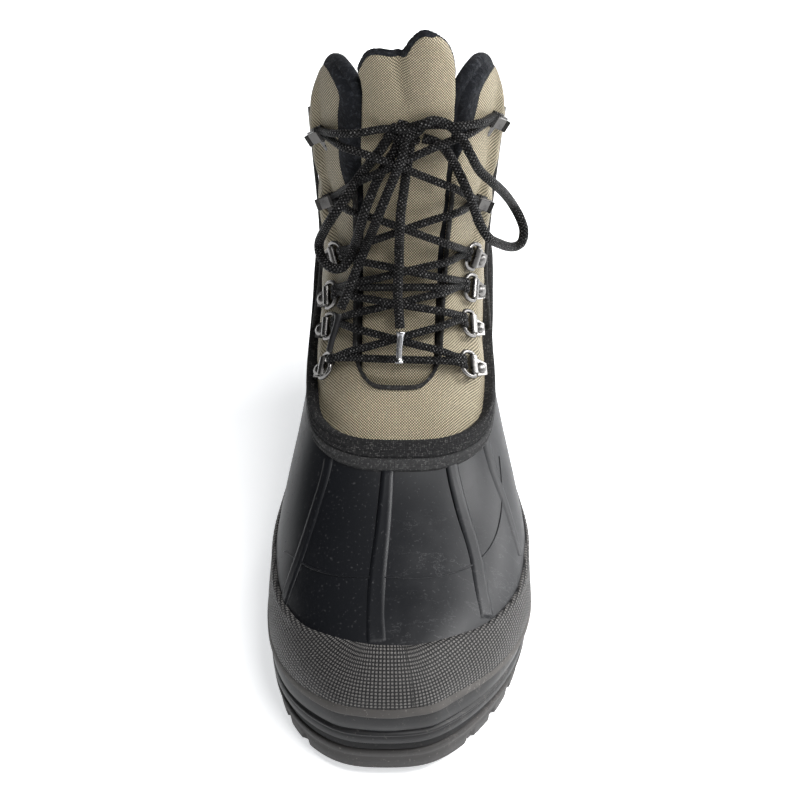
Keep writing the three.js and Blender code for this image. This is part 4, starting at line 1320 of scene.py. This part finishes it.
def tongue_lift(d, edge):
    x, z = d[:, 0], d[:, 2]
    deep = tongue_depth(z)
    half = throat_half(z)
    full = (deep - 3.0) * (1 - ramp(np.abs(x - throat_middle(z)), half - 2.5, half + 1.5)) * ramp(z, 111, 121)
    full = lerp(full, deep - 3, ramp(z, 240, 252))
    soft = softened(edge, TONGUE_SOFT)
    valley = np.exp(-(((x + 1.0 + (z - 262) * 0.14) / 2.6) ** 2)) * ramp(z, 225, 268) * 3.6
    cheek = 1.6 * np.exp(-(((x - 13) / 8.0) ** 2 + ((z - 256) / 16.0) ** 2))
    dip = 1.2 * np.exp(-(((x + 17) / 5.0) ** 2 + ((z - 246) / 16.0) ** 2))
    bumps = 0.5 * np.sin(z / 7.5 + 0.08 * x) * ramp(z, 140, 160)
    tucks = 0.8 * np.exp(-(((z - 128 + 0.35 * x) / 3.0) ** 2)) * ramp(np.abs(x - 6), 14, 4)
    return full - deep - soft - valley + cheek - dip + bumps - tucks, soft


def make_tongue():
    outline = [[x, z * COLLAR_HEIGHT] for x, z in TONGUE_SHAPE]

    def field(d):
        flat = d[:, :3] + d[:, 3:6] * -8
        return np.where(d[:, 1] < float(from_toe(0.66)), outline_gap(flat[:, 0], flat[:, 2], outline), -5)

    def inner_field(d):
        return field(d) - 1.5 * ramp(d[:, 2], 238, 256) * (1 - 0.9 * ramp(d[:, 0], 13, 18))

    for name, fields, mat, node in (
        ("tongue_nylon", [inner_field], OLIVE, "tongue"),
        ("tongue_edging", [field, lambda d: -inner_field(d)], FLEECE, None),
    ):
        data, faces = skin(*fields, part=FRONT)
        points = lifted(data, tongue_lift(data, field(data))[0])
        obj = mesh_object(name, points, faces, mat, uv=data[:, 6:8])
        piece(obj, node)
    data, faces = skin(field, part=FRONT)
    lift, soft = tongue_lift(data, field(data))
    outer, inner = lifted(data, lift), lifted(data, lift - TONGUE_THICK + 2 * soft)
    back = [f[::-1] for f in faces]
    points = list(inner)
    for keep in loops_of(data, faces):
        back += between(6, len(keep), len(points))
        points += rolled(outer[keep], inner[keep], data[keep, 3:6], 6, 0.6)
    points = np.array(points)
    piece(mesh_object("tongue_back", points, back, FLEECE, uv=points[:, [0, 2]]), None)


make_tongue()


# Rubber shell and bumper.
def floor_gap(d):
    return d[:, 2] - smooth_height(SOLE_TOP, d[:, 1]) + 2


def make_shell():
    data, faces = skin(floor_gap, lambda d: -rim_gap(d) - 1)
    x, y = data[:, 0], data[:, 1]
    wave = 0.35 * np.sin(x / 17 + 1.1) * np.sin(y / 23 + 0.4) - 0.25
    shell = mesh_object("rubber_shell", lifted(data, wave), faces, RUBBER, uv=data[:, 6:8], merge=0.01)
    piece(shell, "shell")


make_shell()


def ring_out(ring):
    along = np.roll(ring, -1, 0) - np.roll(ring, 1, 0)
    out = np.stack([along[:, 1], -along[:, 0]], 1)
    return out / np.linalg.norm(out, axis=1, keepdims=True)


def sole_ring():
    right = [[half * BALL_WIDTH, float(from_toe(share))] for share, half in SOLE_OUTER]
    left = [[-half * BALL_WIDTH, float(from_toe(share))] for share, half in SOLE_INNER]
    ring = catmull(right + left[::-1], SOLE_PLACES, True)
    ring = np.stack([ease_round(values, 14) for values in ring.T], 1)
    return ring + ring_out(ring) * 0.35


RING = sole_ring()
RING_OUT = ring_out(RING)
RING_RUN = run_along(np.vstack([RING, RING[:1]]))


def ring_level(profile):
    return smooth_height(profile, RING[:, 1])


def wall_reach(levels):
    """How far in from the sole's outline the last's side is, at each place round it and each height."""
    out = np.zeros(levels.shape)
    for k, row in enumerate(levels):
        for i, z in enumerate(row):
            start = RING[i] + RING_OUT[i] * RAY_START
            hit = TREE.ray_cast((*start, z), (*-RING_OUT[i], 0))
            out[k, i] = hit[3] - RAY_START if hit[0] is not None else 6
    return np.array([ease_round(row, 4) for row in out])


def ring_wrap(name, rows, mat, node):
    """Rows of (how far in from the outline, height), each a number or one for every place round the sole."""
    n = len(RING)
    points, uv = [], []
    for inset, z in rows:
        p = RING - RING_OUT * np.broadcast_to(inset, n)[:, None]
        points.append(np.column_stack([p, np.broadcast_to(z, n)]))
    for low, high in zip(points, points[1:]):
        for i in range(n):
            j = (i + 1) % n
            a, b = RING_RUN[i], RING_RUN[i + 1]
            uv.append([(a, low[i, 2]), (b, low[j, 2]), (b, high[j, 2]), (a, high[i, 2])])
    obj = mesh_object(name, np.vstack(points), between(len(rows), n), mat, uv=uv)
    return piece(obj, node)


def bumper_low(d):
    return d[:, 2] - smooth_height(BAND_TOP, d[:, 1]) + 0.6


def bumper_high(d):
    return smooth_height(BUMPER_TOP, d[:, 1]) + 1.5 - d[:, 2]


def around_sole(data):
    """How far round the sole each place is, and how far up and in from its outline."""
    away = np.hypot(data[:, None, 0] - RING[None, :, 0], data[:, None, 1] - RING[None, :, 1])
    near = away.argmin(1)
    ahead = np.stack([-RING_OUT[near, 1], RING_OUT[near, 0]], 1)
    run = RING_RUN[near] + ((data[:, :2] - RING[near]) * ahead).sum(1)
    return np.stack([run, data[:, 2] + 0.45 * away.min(1)], 1)


# Steps of the foxing: share of the way down, and how far in from flush, in mm.
BANDS = [
    (0.0, 0.5), (0.015, -0.9), (0.04, -1.5), (0.19, -1.9), (0.22, -1.6), (0.235, -0.3), (0.26, -0.5),
    (0.42, -0.9), (0.58, -1.0), (0.61, -0.5), (0.63, 0.7), (0.69, 0.8), (0.715, -0.3), (0.74, -0.9),
    (0.77, -0.7), (0.79, 0.1), (0.82, -0.5), (0.96, -0.7), (0.985, -0.2), (1.0, 0.8),
]


def make_bumper():
    data, faces = skin(bumper_low, bumper_high)
    edge = bumper_high(data)
    lip = 0.5 * np.exp(-(((edge - 1.6) / 0.9) ** 2)) - 0.7 * (1 - ramp(edge, 0, 1.0))
    uv = around_sole(data)
    patch("toe_bumper", data, faces, -0.6, BUMPER_STEP + lip, BUMPER, uv, None)
    base, top = ring_level(SOLE_TOP), ring_level(BAND_TOP)
    low = ring_level(OUTSOLE_TOP) + lerp(5, 3, ramp(to_share(RING[:, 1]), 0.02, 0.2))
    levels = np.array([lerp(top, low, t) for t, _ in BANDS])
    reach = np.minimum(wall_reach(np.maximum(levels, base + 2)), 4.0)
    flush = lerp(reach, 1.7, ramp(base + 5 - levels, -6, 6))
    rows = [(flush[k] + BANDS[k][1], levels[k]) for k in range(len(BANDS))]
    ring_wrap("foxing_lip", rows[:6][::-1], LIP, None)
    ring_wrap("foxing_band", rows[5:][::-1], FOXING, None)
    return levels[-1]


FOXING_LOW = make_bumper()


# Band along the rim, and other lines that follow the columns.
def column_line(field):
    """For each column, the row where the field first passes zero going up."""
    value = field(BASE).reshape(N_ROWS, COLUMNS + 1)
    rows = np.zeros(COLUMNS + 1)
    for j in range(COLUMNS + 1):
        up = np.where((value[:-1, j] < 0) & (value[1:, j] >= 0) & (GRID[1:, j, 2] > 60))[0]
        i = up[0] if len(up) else 0
        rows[j] = i + value[i, j] / (value[i, j] - value[i + 1, j])
    return rows


def at_rows(rows, j, shift):
    """Points and normals of column j, shift mm along it from the row."""
    run = ALONG[:, j]
    index = np.arange(N_ROWS)
    r = np.interp(np.interp(rows, index, run) + shift, run, index)
    p, n = [np.array([np.interp(r, index, grid[:, j, k]) for k in range(3)]) for grid in (GRID, NORMAL)]
    return p, n / np.linalg.norm(n)


def row_band(name, field, section, mat, node):
    rows = column_line(field)
    ease(rows)
    m = len(section)
    points, uv_pt = [], []
    shifts = run_along(section)
    run = 0.0
    before = None
    for j in range(COLUMNS + 1):
        p0, _ = at_rows(rows[j], j, 0)
        if before is not None:
            run += float(np.linalg.norm(p0 - before))
        before = p0
        for k, (shift, lift) in enumerate(section):
            p, n = at_rows(rows[j], j, shift)
            points.append(p + n * lift)
            uv_pt.append((run, shifts[k]))
    faces = between(COLUMNS + 1, m, closed=False)
    obj = mesh_object(name, np.array(points), faces, mat, uv=np.array(uv_pt), merge=0.01)
    return piece(obj, node)


FOOT_SECTION = [
    (-12.2, -0.4), (-12.0, 0.35), (-11.6, 0.75), (-10.4, 0.85), (-10.1, 0.6), (-9.7, 0.95), (-8.0, 1.15),
    (-6.8, 1.15), (-6.2, 0.4),
]
BAND_SECTION = [
    (-6.4, 0.3), (-6.0, 1.1), (-5.4, 1.5), (-4.2, 1.7), (-3.8, 1.35), (-3.4, 1.75), (-2.2, 1.9), (-1.2, 1.9),
    (-0.8, 1.5), (-0.4, 1.9), (0.6, 2.0), (1.7, 1.7), (2.3, 0.9), (2.5, -0.6), (2.5, -3.0),
]
row_band("rim_foot", rim_gap, FOOT_SECTION, BAND_FOOT, None)
row_band("rim_band", rim_gap, BAND_SECTION, BAND, "rim_binding")


# Ribs of the shell: the width at the rim and at the bumper, then [x, share, z] rows.
RIBS = [
    [3.4, 7.0, [-5.4, 0.35, 92], [-7.6, 0.264, 79.2], [-10.1, 0.189, 70.7], [-10.8, 0.124, 65.1],
     [-10.2, 0.082, 60.8]],
    [3.2, 5.0, [-32.0, 0.385, 90], [-33.4, 0.367, 87.8], [-39.3, 0.316, 75.4], [-46.4, 0.252, 63.4],
     [-53.8, 0.194, 49.7]],
    [3.4, 5.4, [23.0, 0.368, 92], [24, 0.352, 89.8], [29.2, 0.292, 77.9], [34.6, 0.235, 69],
     [36.6, 0.189, 62.9], [39.3, 0.15, 55.8]],
    [3.2, 4.6, [39.5, 0.415, 93], [44, 0.377, 80.8], [48.3, 0.352, 71.7], [52.6, 0.322, 61.7],
     [55.5, 0.294, 53.2]],
]
# Half a rib's section: how far outside its edge, and how tall.
RIB_EDGE = [[1.3, -0.5], [0.7, -0.1], [0.2, 0.15], [-0.3, 0.35], [-0.8, 0.42], [-1.2, 0.4]]
for k, (narrow, wide, *rows) in enumerate(RIBS):
    line, outs = on_surface(rows, 80, rounds=60)
    shape = []
    for t in np.linspace(0, 1, 80):
        fade = ramp(t, 0, 0.04) * ramp(t, 1.0, 0.985)
        half = [[lerp(narrow, wide, t) / 2 + x, y] for x, y in RIB_EDGE] + [[0, 0.4]]
        half = [[x, lerp(-0.3, y, fade)] for x, y in half]
        shape.append(half + [[-x, y] for x, y in half[-2::-1]])
    points, faces, uv = sweep(line, np.array(shape), ups=outs)
    piece(mesh_object("shell_rib_%d" % (k + 1), points, faces, RUBBER, uv=uv), None)

# A fine raised line across the shell: [x, share, z] rows.
SEAM = [
    [-54, 0.29, 58], [-48.5, 0.265, 61.6], [-42.2, 0.232, 64.1], [-28.2, 0.198, 67.7], [-6, 0.186, 70.1],
    [13.3, 0.186, 69.4], [24.4, 0.202, 68.8], [33.8, 0.223, 67.5], [39.6, 0.252, 67.5], [43.8, 0.285, 67.6],
    [46.5, 0.33, 70], [47.2, 0.37, 75], [46.4, 0.41, 83],
]
line, outs = on_surface(SEAM, 160, rounds=60)
points, faces, uv = sweep(line, pill(0.9, 0.32, 2), ups=outs)
piece(mesh_object("seam_arc", points, faces, RUBBER, uv=uv), None)


# Throat binding and side piping.
def make_throat_edge():
    fields = [
        lambda d: throat_gap(d) - 0.4,
        lambda d: WEBBING_WIDTH - throat_gap(d),
        lambda d: 196 - d[:, 2],
    ]
    data, faces = skin(*fields, part=FRONT)
    edge = np.min([f(data) for f in fields], axis=0)
    high = -1.3 - 0.5 * (1 - ramp(edge, 0, 1.0))
    patch("throat_edge", data, faces, -3.2, high, WEBBING, data[:, 6:8], "throat_binding")


make_throat_edge()
PIPING = [[0.642, 100], [0.655, 118], [0.685, 160], [0.705, 195], [0.715, 212]]
for side, name in ((1, "side_piping_lateral"), (-1, "side_piping_medial")):
    rows = [[seat(side, share, z)[0][0], share, z] for share, z in PIPING]
    line, outs = on_surface(rows, 90, 0.2)
    points, faces, uv = sweep(line, pill(PIPING_WIDTH, 1.2, 3), ups=outs)
    piece(mesh_object(name + "_strip", points, faces, WEBBING, uv=uv), name)


# Sole: a recessed ribbed band, and lugs underneath.
def groove(x, y):
    out = np.zeros(len(x))
    for centre, width, slant in GROOVES:
        line = float(from_toe(centre)) + slant * np.clip((np.abs(x) - 18) / 42, 0, 1)
        out = np.maximum(out, 1 - ramp(np.abs(y - line), width / 2 - 0.6, width / 2 + 0.6))
    return out


def make_sole():
    y = RING[:, 1]
    ground = smooth_height(GROUND, y, reach=2)
    tread = ring_level(OUTSOLE_TOP)
    rows = [(3.6, tread - 0.5)]
    rows += [(3.0 + 0.35 * (-1) ** k, lerp(tread + 0.2, FOXING_LOW + 0.2, k / 9)) for k in range(10)]
    rows += [(3.4, FOXING_LOW + 0.8), (5, FOXING_LOW + 2)]
    ring_wrap("recessed_band", rows, FOXING, "midsole")
    cut_depth = groove(RING[:, 0], y) * GROOVE_DEPTH
    n = len(RING)
    side = [
        (4.0, tread - 0.1),
        (2.2, tread + 0.1),
        (1.7, tread - 0.4),
        (1.5, tread - 1.2),
        (2.2, lerp(ground, tread, 0.72)),
        (2.9, lerp(ground, tread, 0.64)),
        (2.8, np.maximum(lerp(ground, tread, 0.5), ground + cut_depth + 0.8)),
        (3.5, ground + cut_depth + 0.5),
        (4.3, ground + cut_depth),
    ]
    points = [np.column_stack([RING - RING_OUT * inset, z]) for inset, z in side]
    spine = np.column_stack([np.full(n, -1.0), np.clip(y, -118, 122)])
    for k in range(1, 45):
        p = lerp(RING - RING_OUT * 4.3, spine, k / 44)
        z = smooth_height(GROUND, p[:, 1], reach=2) + groove(p[:, 0], p[:, 1]) * GROOVE_DEPTH
        points.append(np.column_stack([p, z]))
    faces = [f[:1] + f[:0:-1] for f in between(len(points), n)]
    points = np.vstack(points)
    tread_piece = mesh_object("outsole_lugs", points, faces, TREAD, uv=points[:, :2], merge=0.005)
    piece(tread_piece, "outsole")


make_sole()

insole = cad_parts["insole"]
insole.data.materials.clear()
insole.data.materials.append(FLEECE)
